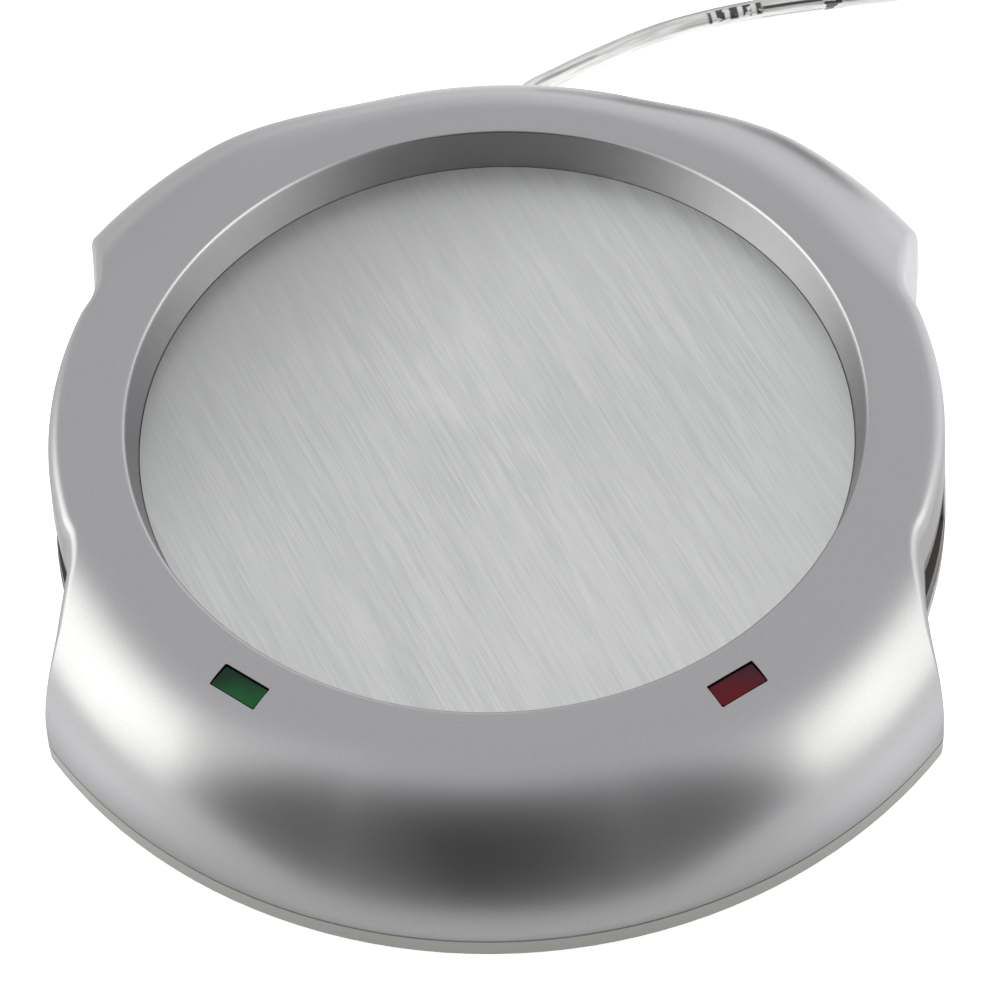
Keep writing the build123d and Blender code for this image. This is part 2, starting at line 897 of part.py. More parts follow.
def switch_slider():
    """The slider at the off end of its travel: tip outside, foot inside the case."""
    tip_length = slider_tip_reach + switch_shell + slider_gap
    foot_face = -switch_shell - slider_gap
    tip = Box(
        slider_tip_width, tip_length + 0.2, slider_tip_height,
        align=(Align.CENTER, Align.MAX, Align.CENTER),
    )
    tip = fillet(tip.edges().group_by(Axis.Y)[-1], 0.3)
    slider = Pos(0, slider_tip_reach, 0) * tip
    slider += Pos(0, foot_face, 0) * Box(
        slider_foot_width, slider_foot_depth, slider_foot_height,
        align=(Align.CENTER, Align.MAX, Align.CENTER),
    )
    return at_switch(Pos(slider_travel / 2, switch_face, switch_level) * slider)


# ---------------------------------------------------------------- cord and plug


def rounded_route(points):
    """Straight runs through the points, joined by tangent arcs as wide as they allow."""
    runs = [math.dist(a, b) for a, b in zip(points, points[1:])]
    radii = []
    for index, here in enumerate(points[1:-1], start=1):
        before = Vector(*here) - Vector(*points[index - 1])
        after = Vector(*points[index + 1]) - Vector(*here)
        half_turn = math.radians(before.get_angle(after)) / 2
        radii.append(0.45 * min(runs[index - 1], runs[index]) / math.tan(half_turn))
    return FilletPolyline(*points, radius=radii), radii


def tube(points, radius, name):
    """A round tube along a rounded route."""
    route, radii = rounded_route(points)
    with BuildPart() as piece:
        with BuildLine():
            add(route)
        with BuildSketch(Plane(origin=route @ 0, z_dir=route % 0)):
            Circle(radius)
        sweep()
    print(name, "length", round(route.length, 1), "tightest bend", round(min(radii), 1))
    expected = route.length * math.pi * radius * radius
    print(name, "volume ratio", round(piece.part.volume / expected, 4))
    return piece.part


def gland_bore(radius):
    """The bore for the cord's gland, through the rear wall."""
    bore = Rot(-90, 0, 0) * Cylinder(radius, beyond, align=(Align.CENTER, Align.CENTER, Align.MIN))
    return Pos(cord_exit_x, gland_inner, cord_exit_z) * bore


def strain_relief(cord):
    """The gland that holds the cord in the rear wall, moulded round it."""
    barrel = gland_bore(gland_radius) & Pos(0, gland_mouth - beyond) * block(
        beyond, 2 * beyond, 0, ring_top
    )
    flange = Pos(cord_exit_x, gland_inner, cord_exit_z) * Box(
        gland_flange_width, gland_flange_thickness, gland_flange_height,
        align=(Align.CENTER, Align.MIN, Align.CENTER),
    )
    return barrel + flange - cord


def cord_coil():
    """The coiled length of cord, as one solid ring."""
    ring = disc(coil_outer_radius + cord_radius, coil_lift, coil_height)
    ring -= disc(coil_column_radius - cord_radius, coil_lift, coil_height)
    ring = fillet(ring.edges().filter_by(GeomType.CIRCLE), coil_round)
    return Pos(coil_centre_x, coil_centre_y) * ring


def plug_place():
    """Where the plug starts and which way it points."""
    end, before = tail_route[-1], tail_route[-2]
    heading = math.degrees(math.atan2(end[1] - before[1], end[0] - before[0]))
    return Pos(*end) * Rot(0, 0, heading)


def plug_body(cord):
    """The moulded grip of the plug, with the tapered neck round the cord."""
    neck = Rot(0, 90, 0) * Cone(
        plug_neck_radius * 0.75, plug_neck_radius, plug_neck_length,
        align=(Align.CENTER, Align.CENTER, Align.MIN),
    )
    grip = span(0, plug_body_length, plug_body_width, plug_body_height)
    grip = fillet(grip.edges().filter_by(Axis.X), 1.2)
    grip = fillet(grip.edges().group_by(Axis.X)[0], 0.8)
    body = Pos(-plug_neck_length / 2, 0, 0) * (neck + Pos(plug_neck_length - 0.1, 0, 0) * grip)
    back = plug_body_end() - plug_shell_root
    body -= span(back, plug_body_end(), plug_shell_width + 0.1, plug_shell_height + 0.1)
    return plug_place() * body - cord


def plug_body_end():
    """Where the grip ends, along the plug."""
    return plug_neck_length / 2 - 0.1 + plug_body_length


def plug_shell():
    """The metal shell of the plug, with its two square windows."""
    start = plug_body_end() - plug_shell_root
    end = plug_body_end() + plug_shell_length
    inner_y = plug_shell_width - 2 * plug_shell_metal
    inner_z = plug_shell_height - 2 * plug_shell_metal
    shell = span(start, end, plug_shell_width, plug_shell_height)
    shell -= span(start + plug_shell_metal, end + 1, inner_y, inner_z)
    for row in (1, -1):
        window = Pos(end - 6, row * 2.5, plug_shell_height / 2) * Box(2.4, 2.4, 2)
        shell -= window
    return plug_place() * shell


def plug_blade():
    """The insulator inside the plug's shell."""
    start = plug_body_end() - plug_shell_root + plug_shell_metal
    end = plug_body_end() + plug_shell_length - 0.4
    inner_y = plug_shell_width - 2 * plug_shell_metal - 2 * blade_gap
    inner_z = plug_shell_height - 2 * plug_shell_metal - 2 * blade_gap
    blade = span(start + blade_gap, end, inner_y, inner_z / 2)
    return plug_place() * Pos(0, 0, -inner_z / 4) * blade


# ---------------------------------------------------------------- leads inside


def lead_pair(route, offset, name):
    """Two thin wires side by side along a route."""
    tubes = []
    for side in (1, -1):
        shifted = [(x + side * offset[0], y + side * offset[1], z) for x, y, z in route]
        tubes.append(tube(shifted, lead_radius, name))
    return merge(tubes)


def heater_leads():
    """The pair from the heater film down to the main board."""
    route = [
        (-clamp_hole_circle, 0, film_low),
        (-clamp_hole_circle, 0, film_low - 3.4),
        (-clamp_hole_circle + 2.2, 0, board_top + 2.9),
        (-clamp_hole_circle + 2.2, 0, board_top),
    ]
    return lead_pair(route, (0, 1.1), "heater lead")


def input_leads():
    """The pair from the cord's inner end to the main board."""
    route = [
        (cord_exit_x, 65.9, cord_exit_z),
        (cord_exit_x, 50.0, cord_exit_z),
        (cord_exit_x, 34.0, 9.8),
        (cord_exit_x, 23.0, 9.8),
        (cord_exit_x, 23.0, board_top),
    ]
    return lead_pair(route, (0.75, 0), "input lead")


def switch_leads():
    """The pair from the switch's board to the main board."""
    start = switch_face - switch_board_depth + 1
    x, y = polar(start, switch_azimuth)
    route = [
        (x, y, switch_board_top),
        (x, y, switch_board_top + 2.6),
        (x + 0.5, y - 3.2, switch_board_top + 4.2),
        (x + 1.5, 32.0, 10.4),
        (x + 1.8, 24.0, 9.8),
        (x + 1.8, 24.0, board_top),
    ]
    return lead_pair(route, (0.8, 0), "switch lead")


# ---------------------------------------------------------------- files


def save(name, shape):
    """Write one piece's file."""
    export_step(shape, "parts/" + name + ".step")


def main():
    """Make every piece and write its file."""
    os.makedirs("parts", exist_ok=True)
    save("top_cover", top_cover())
    save("bottom_cover", bottom_cover())
    save("rubber_feet", rubber_feet())
    save("heating_plate", heating_plate())
    save("heater_film", heater_film())
    save("insulation_pad", insulation_pad())
    save("heater_clamp", heater_clamp())
    save("thermal_cutout", thermal_cutout())
    save("clamp_screws", screws(clamp_places(), clamp_low, small_screw_length))
    save("led_screws", screws(led_post_places(), led_board_low, small_screw_length))
    save("board_screws", screws(board_places(), board_top, board_screw_length, flip=True))
    save("case_screws", case_screws())
    save("main_board", main_board())
    save("hub_chip", hub_chip())
    save("crystal_can", crystal_can())
    save("regulator", regulator())
    save("capacitors", capacitors())
    for side, side_name in ((1, "right"), (-1, "left")):
        save("port_bezel_" + side_name, port_bezel(side))
        for row, row_name in ((1, "rear"), (-1, "front")):
            save("usb_socket_" + row_name + "_" + side_name, usb_socket(side, row))
            save("usb_blade_" + row_name + "_" + side_name, usb_blade(side, row))
    for index, colour, side_name in ((0, "green", "left"), (1, "red", "right")):
        save(colour + "_lens", indicator_lens(index))
        save(colour + "_led", indicator_led(index))
        save("led_board_" + side_name, led_board(index))
    save("switch_board", switch_board())
    save("heater_switch", heater_switch())
    save("switch_slider", switch_slider())
    save("heater_leads", heater_leads())
    save("input_leads", input_leads())
    save("switch_leads", switch_leads())
    cord = tube(cord_route, cord_radius, "cord")
    tail = tube(tail_route, cord_radius, "tail")
    save("usb_cord", cord)
    save("cord_coil", cord_coil())
    save("cord_tail", tail)
    save("strain_relief", strain_relief(cord))
    save("plug_body", plug_body(tail))
    save("plug_shell", plug_shell())
    save("plug_blade", plug_blade())


if __name__ == "__main__":
    main()
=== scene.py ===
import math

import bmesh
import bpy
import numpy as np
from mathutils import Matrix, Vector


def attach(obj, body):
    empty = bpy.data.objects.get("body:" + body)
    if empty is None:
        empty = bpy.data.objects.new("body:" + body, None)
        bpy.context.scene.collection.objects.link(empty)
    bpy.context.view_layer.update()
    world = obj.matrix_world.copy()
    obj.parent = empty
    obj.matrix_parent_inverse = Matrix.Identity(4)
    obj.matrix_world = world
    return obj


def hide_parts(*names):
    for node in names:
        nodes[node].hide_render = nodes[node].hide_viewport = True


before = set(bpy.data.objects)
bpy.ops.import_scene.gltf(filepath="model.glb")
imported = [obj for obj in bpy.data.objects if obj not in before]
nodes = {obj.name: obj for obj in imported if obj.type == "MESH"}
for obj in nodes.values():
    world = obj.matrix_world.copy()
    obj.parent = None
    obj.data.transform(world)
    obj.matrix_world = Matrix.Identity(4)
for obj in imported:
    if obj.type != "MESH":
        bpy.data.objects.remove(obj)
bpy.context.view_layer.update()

# %% [markdown]
# This lesson dresses an electric mug warmer: a silver ring round a shallow well with a
# hot plate in it, four swept lobes, two signal windows, four ports in its sides and a
# thin cord.  It was drawn as solids first, and the lines above load those solids as a
# fixed frame.  Nothing of the frame is moved: each piece below either dresses a solid
# with a finish or stands in its place with a finer mesh.  The frame's own box is kept.

MM = 0.001
HOUSING = "warmer"
print("solids in the frame:", len(nodes))

# %% [markdown]
# The camera looks down on the warmer from the front at about 52 degrees, a little from
# the right, with a slight roll.  A constraint could aim it, but a matrix says the roll
# as well.  A camera looks along its own -Z axis, so its frame is built from three
# directions: to the right, up, and back towards the viewer.

# %% Camera
VIEW_TURN = 3.71
VIEW_RISE = 52.46
VIEW_ROLL = -3.355
VIEW_DISTANCE = 0.592
VIEW_TARGET = Vector((-0.12, 1.55, 1.2)) * MM
LENS = 153.0
SENSOR_WIDTH = 36
NEAREST = 0.01


def view_axes(turn, rise, roll):
    """Right, up and back directions of a camera above the front, in degrees."""
    turn, rise, roll = (math.radians(value) for value in (turn, rise, roll))
    level = math.cos(rise)
    back = Vector((math.sin(turn) * level, -math.cos(turn) * level, math.sin(rise)))
    right = Vector((math.cos(turn), math.sin(turn), 0))
    up = back.cross(right)
    level_right = right * math.cos(roll) + up * math.sin(roll)
    level_up = up * math.cos(roll) - right * math.sin(roll)
    return level_right, level_up, back


def add_camera():
    """The one camera, aimed at the foot of the housing."""
    right, up, back = view_axes(VIEW_TURN, VIEW_RISE, VIEW_ROLL)
    camera_data = bpy.data.cameras.new("view")
    camera_data.lens = LENS
    camera_data.sensor_width = SENSOR_WIDTH
    camera_data.clip_start = NEAREST
    camera = bpy.data.objects.new("view", camera_data)
    facing = Matrix((right, up, back)).transposed().to_4x4()
    camera.matrix_world = Matrix.Translation(VIEW_TARGET + back * VIEW_DISTANCE) @ facing
    bpy.context.scene.collection.objects.link(camera)
    bpy.context.scene.camera = camera
    print("camera: metres from its target:", VIEW_DISTANCE)


add_camera()
bpy.context.scene.view_settings.view_transform = "Standard"

# %% [markdown]
# Pieces that follow are meshes made in code.  One helper turns lists of points and
# faces into an object at the origin, and another shades it smooth but keeps edges
# sharper than a given angle crisp.  The rest bake modifiers, join parts and clean up.

# %% Mesh helpers
SHARP_TURN = 32
SAME_PLACE = 1e-6


def new_piece(name, points, faces, material):
    """A mesh object at the origin from points in metres and faces."""
    mesh = bpy.data.meshes.new(name)
    mesh.from_pydata([tuple(point) for point in points], [], faces)
    mesh.update()
    piece = bpy.data.objects.new(name, mesh)
    bpy.context.scene.collection.objects.link(piece)
    mesh.materials.append(material)
    return piece


def shade_smooth(piece, sharp=SHARP_TURN):
    """Smooth shading, with edges that turn by more than an angle kept sharp."""
    piece.data.polygons.foreach_set("use_smooth", [True] * len(piece.data.polygons))
    piece.data.set_sharp_from_angle(angle=math.radians(sharp))


def outward(piece):
    """Point every face of a closed mesh outwards."""
    form = bmesh.new()
    form.from_mesh(piece.data)
    bmesh.ops.remove_doubles(form, verts=form.verts, dist=SAME_PLACE)
    bmesh.ops.recalc_face_normals(form, faces=form.faces)
    form.to_mesh(piece.data)
    form.free()


def evaluated_mesh(piece):
    """A plain mesh of what an object looks like with its modifiers."""
    graph = bpy.context.evaluated_depsgraph_get()
    return bpy.data.meshes.new_from_object(piece.evaluated_get(graph), depsgraph=graph)


def bake(piece):
    """Apply a piece's modifiers: its evaluated mesh becomes its plain mesh."""
    mesh = evaluated_mesh(piece)
    piece.modifiers.clear()
    piece.data = mesh


def remove(piece):
    """Delete a helper object that has done its work."""
    bpy.data.objects.remove(piece, do_unlink=True)


def joined(parts):
    """Join parts into the first one, and delete the others."""
    form = bmesh.new()
    for part in parts:
        form.from_mesh(part.data)
    form.to_mesh(parts[0].data)
    form.free()
    for part in parts[1:]:
        remove(part)
    return parts[0]


# %% [markdown]
# A finish is a tree of shader nodes.  Each node takes several lines of code, so a few
# helpers add the usual ones: arithmetic, a smooth step, noise, a vector turned and
# stretched, and a mix of two colours.

# %% Node helpers
NOISE_LOW, NOISE_HIGH = 0.3, 0.7


def socket(group, name, kind, side, value=None):
    """Add one named socket to a node group."""
    made = group.interface.new_socket(name=name, in_out=side, socket_type=kind)
    if value is not None:
        made.default_value = value


def add_node(tree, kind, **settings):
    """Add a node and set its properties by name."""
    made = tree.nodes.new(kind)
    for name, value in settings.items():
        setattr(made, name, value)
    return made


def math_node(tree, operation, first, second=None, clamp=False):
    """A math node with each input a number or another node's output."""
    made = add_node(tree, "ShaderNodeMath", operation=operation, use_clamp=clamp)
    for index, value in enumerate((first, second)):
        if value is None:
            continue
        if isinstance(value, (int, float)):
            made.inputs[index].default_value = value
        else:
            tree.links.new(value, made.inputs[index])
    return made.outputs[0]


def plus(tree, first, second, clamp=False):
    """A sum of two values."""
    return math_node(tree, "ADD", first, second, clamp)


def minus(tree, first, second):
    """A difference of two values."""
    return math_node(tree, "SUBTRACT", first, second)


def times(tree, first, second):
    """A product of two values."""
    return math_node(tree, "MULTIPLY", first, second)


def repeated(tree, value, every):
    """How far into its stretch a value is, from 0 to 1, when stretches repeat."""
    return math_node(tree, "FRACT", math_node(tree, "DIVIDE", value, every))


def ramp(tree, value, low, high, low_out=0.0, high_out=1.0):
    """A smooth step of a value between two limits."""
    made = add_node(tree, "ShaderNodeMapRange", interpolation_type="SMOOTHSTEP")
    made.inputs["From Min"].default_value = low
    made.inputs["From Max"].default_value = high
    made.inputs["To Min"].default_value = low_out
    made.inputs["To Max"].default_value = high_out
    tree.links.new(value, made.inputs["Value"])
    return made.outputs["Result"]


def spread(tree, value, low_out, high_out):
    """A smooth step over the range that a noise mostly keeps to."""
    return ramp(tree, value, NOISE_LOW, NOISE_HIGH, low_out, high_out)


def split_xyz(tree, vector):
    """The three coordinates of a vector, as a node's outputs."""
    made = add_node(tree, "ShaderNodeSeparateXYZ")
    tree.links.new(vector, made.inputs["Vector"])
    return made.outputs


def towards(tree, vector, direction):
    """How much a vector points in a fixed direction."""
    made = add_node(tree, "ShaderNodeVectorMath", operation="DOT_PRODUCT")
    made.inputs[1].default_value = direction
    tree.links.new(vector, made.inputs[0])
    return made.outputs["Value"]


def noise(tree, vector, scale, detail=2.0, roughness=0.5):
    """A noise texture's value."""
    made = add_node(tree, "ShaderNodeTexNoise")
    made.inputs["Scale"].default_value = scale
    made.inputs["Detail"].default_value = detail
    made.inputs["Roughness"].default_value = roughness
    tree.links.new(vector, made.inputs["Vector"])
    return made.outputs["Fac"]


def stretched(tree, vector, scale, turn=0.0):
    """A vector turned about Z, then scaled along its own axes."""
    turned = add_node(tree, "ShaderNodeMapping", vector_type="POINT")
    turned.inputs["Rotation"].default_value = (0, 0, math.radians(turn))
    tree.links.new(vector, turned.inputs["Vector"])
    scaled = add_node(tree, "ShaderNodeMapping", vector_type="POINT")
    scaled.inputs["Scale"].default_value = scale
    tree.links.new(turned.outputs["Vector"], scaled.inputs["Vector"])
    return scaled.outputs["Vector"]


def mix_colour(tree, share, first, second):
    """A mix of two colours; each is a constant or another node's output."""
    made = add_node(tree, "ShaderNodeMix", data_type="RGBA")
    for name, value in (("Factor", share), ("A", first), ("B", second)):
        target = next(s for s in made.inputs if s.name == name and s.enabled)
        if isinstance(value, (tuple, float, int)):
            target.default_value = value
        else:
            tree.links.new(value, target)
    return next(s for s in made.outputs if s.enabled)


def rgb(red, green, blue):
    """An opaque colour."""
    return (red, green, blue, 1.0)


# %% [markdown]
# Shader node groups hold the effects that several finishes share.  A group is built
# once, has named inputs, and puts out only masks, heights or colours; the Principled
# shader itself stays in each material.  Voronoi cells make metal flake, since each cell
# has a colour of its own, noise makes the grain of moulded plastic, and noise squeezed
# across one direction makes the scratches of brushed metal.

# %% Shared effects
PER_METRE = 1000.0
FINE_SCRATCHES = (5200.0, 150.0, 150.0)
MIDDLE_SCRATCHES = (2300.0, 70.0, 70.0)
BROAD_SCRATCHES = (600.0, 30.0, 30.0)


def group_tree(name):
    """An empty shader group with its input and output nodes."""
    tree = bpy.data.node_groups.new(name, "ShaderNodeTree")
    return tree, tree.nodes.new("NodeGroupInput"), tree.nodes.new("NodeGroupOutput")


def make_flake_group():
    """Metal flake in paint: tiny platelets, each with a brightness of its own."""
    tree, given, result = group_tree("metal flake")
    socket(tree, "Vector", "NodeSocketVector", "INPUT")
    socket(tree, "Flakes per mm", "NodeSocketFloat", "INPUT", 9.0)
    socket(tree, "Brightness", "NodeSocketFloat", "OUTPUT")
    socket(tree, "Height", "NodeSocketFloat", "OUTPUT")
    cells = add_node(tree, "ShaderNodeTexVoronoi", feature="F1")
    tree.links.new(given.outputs["Vector"], cells.inputs["Vector"])
    tree.links.new(times(tree, given.outputs["Flakes per mm"], PER_METRE), cells.inputs["Scale"])
    split = add_node(tree, "ShaderNodeSeparateColor")
    tree.links.new(cells.outputs["Color"], split.inputs["Color"])
    tree.links.new(split.outputs["Red"], result.inputs["Brightness"])
    tree.links.new(split.outputs["Green"], result.inputs["Height"])
    return tree


def make_mould_group():
    """Moulded plastic's grain: a fine even texture with a slow drift in it."""
    tree, given, result = group_tree("mould grain")
    socket(tree, "Vector", "NodeSocketVector", "INPUT")
    socket(tree, "Grains per mm", "NodeSocketFloat", "INPUT", 3.0)
    socket(tree, "Height", "NodeSocketFloat", "OUTPUT")
    socket(tree, "Drift", "NodeSocketFloat", "OUTPUT")
    grain = add_node(tree, "ShaderNodeTexNoise")
    grain.inputs["Detail"].default_value = 3.0
    tree.links.new(given.outputs["Vector"], grain.inputs["Vector"])
    tree.links.new(times(tree, given.outputs["Grains per mm"], PER_METRE), grain.inputs["Scale"])
    tree.links.new(grain.outputs["Fac"], result.inputs["Height"])
    tree.links.new(noise(tree, given.outputs["Vector"], 45.0, 3.0), result.inputs["Drift"])
    return tree


def make_brush_group():
    """Brushed metal: long thin scratches laid in one direction."""
    tree, given, result = group_tree("brushing")
    socket(tree, "Vector", "NodeSocketVector", "INPUT")
    socket(tree, "Height", "NodeSocketFloat", "OUTPUT")
    socket(tree, "Streaks", "NodeSocketFloat", "OUTPUT")
    where = given.outputs["Vector"]
    fine = noise(tree, stretched(tree, where, FINE_SCRATCHES), 1.0, 4.0, 0.6)
    middle = noise(tree, stretched(tree, where, MIDDLE_SCRATCHES), 1.0, 3.0, 0.6)
    broad = noise(tree, stretched(tree, where, BROAD_SCRATCHES), 1.0, 2.0)
    streaks = plus(tree, times(tree, fine, 0.4), times(tree, middle, 0.4))
    streaks = plus(tree, streaks, times(tree, broad, 0.2))
    tree.links.new(fine, result.inputs["Height"])
    tree.links.new(streaks, result.inputs["Streaks"])
    return tree


FLAKE = make_flake_group()
MOULD = make_mould_group()
BRUSH = make_brush_group()
print("shared effects:", ", ".join(group.name for group in (FLAKE, MOULD, BRUSH)))

# %% [markdown]
# Every finish starts the same way, with a material, its Principled shader and the
# coordinates that its pattern reads.  Object coordinates are metres here, since every
# piece sits at the origin, so a pattern has the same scale on all of them.

# %% Material helpers
def use_group(tree, group, vector, **values):
    """Place a shared effect in a material."""
    made = add_node(tree, "ShaderNodeGroup")
    made.node_tree = group
    tree.links.new(vector, made.inputs["Vector"])
    for name, value in values.items():
        made.inputs[name.replace("_", " ")].default_value = value
    return made


def start_material(name, coordinates="Object", **constants):
    """A material with its Principled shader, and the coordinates its pattern reads."""
    material = bpy.data.materials.new(name)
    material.use_nodes = True
    tree = material.node_tree
    shader = tree.nodes["Principled BSDF"]
    for socket_name, value in constants.items():
        shader.inputs[socket_name.replace("_", " ")].default_value = value
    where = add_node(tree, "ShaderNodeTexCoord").outputs[coordinates]
    return material, tree, shader, where


def add_bump(tree, shader, height, strength, depth):
    """Let a height push the shader's normal."""
    bump = add_node(tree, "ShaderNodeBump")
    bump.inputs["Strength"].default_value = strength
    bump.inputs["Distance"].default_value = depth
    tree.links.new(height, bump.inputs["Height"])
    tree.links.new(bump.outputs["Normal"], shader.inputs["Normal"])


# %% [markdown]
# The housing is moulded plastic sprayed silver.  Such paint is not plain grey: it holds
# aluminium flake that sparkles a little, the gloss varies slowly where the coat lay
# thicker, and there is a faint orange-peel ripple in it.  A plain metal turns white
# where it is seen edge-on, but the lacquer over the flake doesn't, so a grey Specular
# Tint holds that back.

# %% Silver paint
PAINT_DULL = (0.452, 0.446, 0.466)
PAINT_BRIGHT = (0.496, 0.490, 0.511)
PAINT_ROUGHNESS = (0.275, 0.30)
EDGE_ON_TINT = 0.55
FLAKES_PER_MM = 9.0
PEEL_SCALE = 900.0


def silver_paint():
    """Satin silver paint with fine metal flake."""
    material, tree, shader, where = start_material("silver_paint", Metallic=1.0)
    shader.inputs["Specular Tint"].default_value = rgb(EDGE_ON_TINT, EDGE_ON_TINT, EDGE_ON_TINT)
    flake = use_group(tree, FLAKE, where, Flakes_per_mm=FLAKES_PER_MM)
    drift = noise(tree, where, 60.0, 3.0)
    base = mix_colour(tree, flake.outputs["Brightness"], rgb(*PAINT_DULL), rgb(*PAINT_BRIGHT))
    tree.links.new(base, shader.inputs["Base Color"])
    tree.links.new(spread(tree, drift, *PAINT_ROUGHNESS), shader.inputs["Roughness"])
    peel = noise(tree, where, PEEL_SCALE, 2.0)
    height = plus(tree, peel, times(tree, flake.outputs["Height"], 0.12))
    add_bump(tree, shader, height, 0.08, 0.01 * MM)
    return material


SILVER = silver_paint()
print("paint for the housing:", SILVER.name)

# %% [markdown]
# The plate that the mug stands on is sheet metal brushed in one direction.  The scratches
# are far longer than wide, so the noise is squeezed across the brushing and stretched
# along it, after the coordinates have been turned to the brushing's direction.  Handling
# leaves cloudy patches, and a painted shade darkens the plate towards the rear left.

# %% Brushed plate
BRUSH_TURN = 26.5
PLATE_DULL = (0.650, 0.659, 0.660)
PLATE_BRIGHT = (0.775, 0.784, 0.784)
PLATE_CLOUDY = (0.704, 0.715, 0.715)
# Painted shade on the plate: a dark grey, mixed in more towards the rear left.
PLATE_PAINTED_SHADE = (0.34, 0.34, 0.345)
SHADE_SLANT = 0.85
SHADE_FROM, SHADE_TO, SHADE_MOST = 0.010, 0.066, 0.58


def painted_shade_share(tree, where):
    """How strong the painted shade is, from the distance towards the rear left in metres."""
    place = split_xyz(tree, where)
    far = minus(tree, times(tree, place["Y"], SHADE_SLANT), place["X"])
    return ramp(tree, far, SHADE_FROM, SHADE_TO, 0.0, SHADE_MOST)


def brushed_plate():
    """Straight brushed metal, with cloudy patches and painted shade towards the rear left."""
    material, tree, shader, where = start_material("plate_metal", Metallic=0.95, Anisotropic=0.35)
    turned = stretched(tree, where, (1.0, 1.0, 1.0), -BRUSH_TURN)
    brushing = use_group(tree, BRUSH, turned)
    clouds = noise(tree, where, 38.0, 4.0, 0.6)
    streak = ramp(tree, brushing.outputs["Streaks"], 0.36, 0.64)
    base = mix_colour(tree, streak, rgb(*PLATE_DULL), rgb(*PLATE_BRIGHT))
    base = mix_colour(tree, ramp(tree, clouds, 0.35, 0.7, 0.0, 0.35), base, rgb(*PLATE_CLOUDY))
    # Painted shade: the plate's colour darkens towards the rear left.
    base = mix_colour(tree, painted_shade_share(tree, where), base, rgb(*PLATE_PAINTED_SHADE))
    tree.links.new(base, shader.inputs["Base Color"])
    rough = spread(tree, brushing.outputs["Streaks"], 0.34, 0.46)
    rough = plus(tree, rough, spread(tree, clouds, 0.0, 0.06))
    tree.links.new(rough, shader.inputs["Roughness"])
    add_bump(tree, shader, brushing.outputs["Height"], 0.22, 0.02 * MM)
    return material


PLATE = brushed_plate()
print("brushing, degrees from the front-to-back line:", BRUSH_TURN)


# %% [markdown]
# The rest of the finishes are plainer, so two functions make families of them: moulded
# plastics with a grain, and sheet metals with a faint grain.  Each call gives its own
# colour and roughness.

# %% Plastics and plain metals
def moulded(name, colour, roughness, grains=3.0, depth=0.02, coat=0.0):
    """A moulded plastic or rubber with a fine grain and a slow drift in its gloss."""
    material, tree, shader, where = start_material(name, Coat_Weight=coat)
    grain = use_group(tree, MOULD, where, Grains_per_mm=grains)
    darker = rgb(*(value * 0.86 for value in colour))
    base = mix_colour(tree, grain.outputs["Drift"], darker, rgb(*colour))
    tree.links.new(base, shader.inputs["Base Color"])
    rough = spread(tree, grain.outputs["Drift"], roughness - 0.04, roughness + 0.05)
    tree.links.new(rough, shader.inputs["Roughness"])
    add_bump(tree, shader, grain.outputs["Height"], 0.25, depth * MM)
    return material


def plain_metal(name, colour, roughness):
    """Sheet or turned metal with a faint grain and dull patches."""
    material, tree, shader, where = start_material(name, Metallic=1.0)
    grain = use_group(tree, MOULD, where, Grains_per_mm=1.2)
    darker = rgb(*(value * 0.8 for value in colour))
    base = mix_colour(tree, grain.outputs["Drift"], darker, rgb(*colour))
    tree.links.new(base, shader.inputs["Base Color"])
    rough = spread(tree, grain.outputs["Height"], roughness - 0.05, roughness + 0.08)
    tree.links.new(rough, shader.inputs["Roughness"])
    add_bump(tree, shader, grain.outputs["Height"], 0.1, 0.01 * MM)
    return material


BASE_GREY = moulded("grey_plastic", (0.470, 0.466, 0.456), 0.5, 4.0, 0.03)
DARK_INSERT = moulded("dark_plastic", (0.075, 0.064, 0.062), 0.42, 4.0)
RUBBER = moulded("rubber", (0.035, 0.035, 0.037), 0.75, 2.0, 0.05)
EPOXY = moulded("chip_black", (0.02, 0.02, 0.022), 0.5, 6.0)
INSULATOR = moulded("port_insulator", (0.78, 0.78, 0.75), 0.45, 3.0)
GRIP = moulded("plug_grip", (0.40, 0.40, 0.405), 0.48, 4.0, 0.03)
LEAD_WHITE = moulded("lead_white", (0.72, 0.72, 0.69), 0.5, 3.0)
LEAD_RED = moulded("lead_red", (0.5, 0.035, 0.03), 0.45, 3.0)
LAMP_GREEN = moulded("lamp_green", (0.12, 0.50, 0.18), 0.2, 1.0, 0.005, 0.5)
LAMP_RED = moulded("lamp_red", (0.55, 0.06, 0.05), 0.2, 1.0, 0.005, 0.5)
CLAMP_STEEL = plain_metal("clamp_steel", (0.52, 0.52, 0.52), 0.38)
SCREW_STEEL = plain_metal("screw_steel", (0.56, 0.56, 0.57), 0.3)
CAN_METAL = plain_metal("can_metal", (0.74, 0.74, 0.75), 0.28)
TIN_PLATE = plain_metal("port_metal", (0.78, 0.78, 0.77), 0.18)
CUTOUT_CASE = plain_metal("cutout_case", (0.70, 0.70, 0.70), 0.35)
GOLD = plain_metal("contact_gold", (0.75, 0.52, 0.20), 0.22)
print("materials so far, with the frame's own:", len(bpy.data.materials))

# %% [markdown]
# The signal windows are clear plastic with a strong tint.  A lamp lies unlit below them,
# so what shows is the tint itself.  Painted light and shade lie over it: each window is
# paler at its front and deeper towards the rear.  Fully clear plastic would show only the
# dark inside, so the tint is a base colour with just a little transmission.

# %% Tinted plastic
LENS_FRONT_Y, LENS_REAR_Y = -0.0482, -0.0434


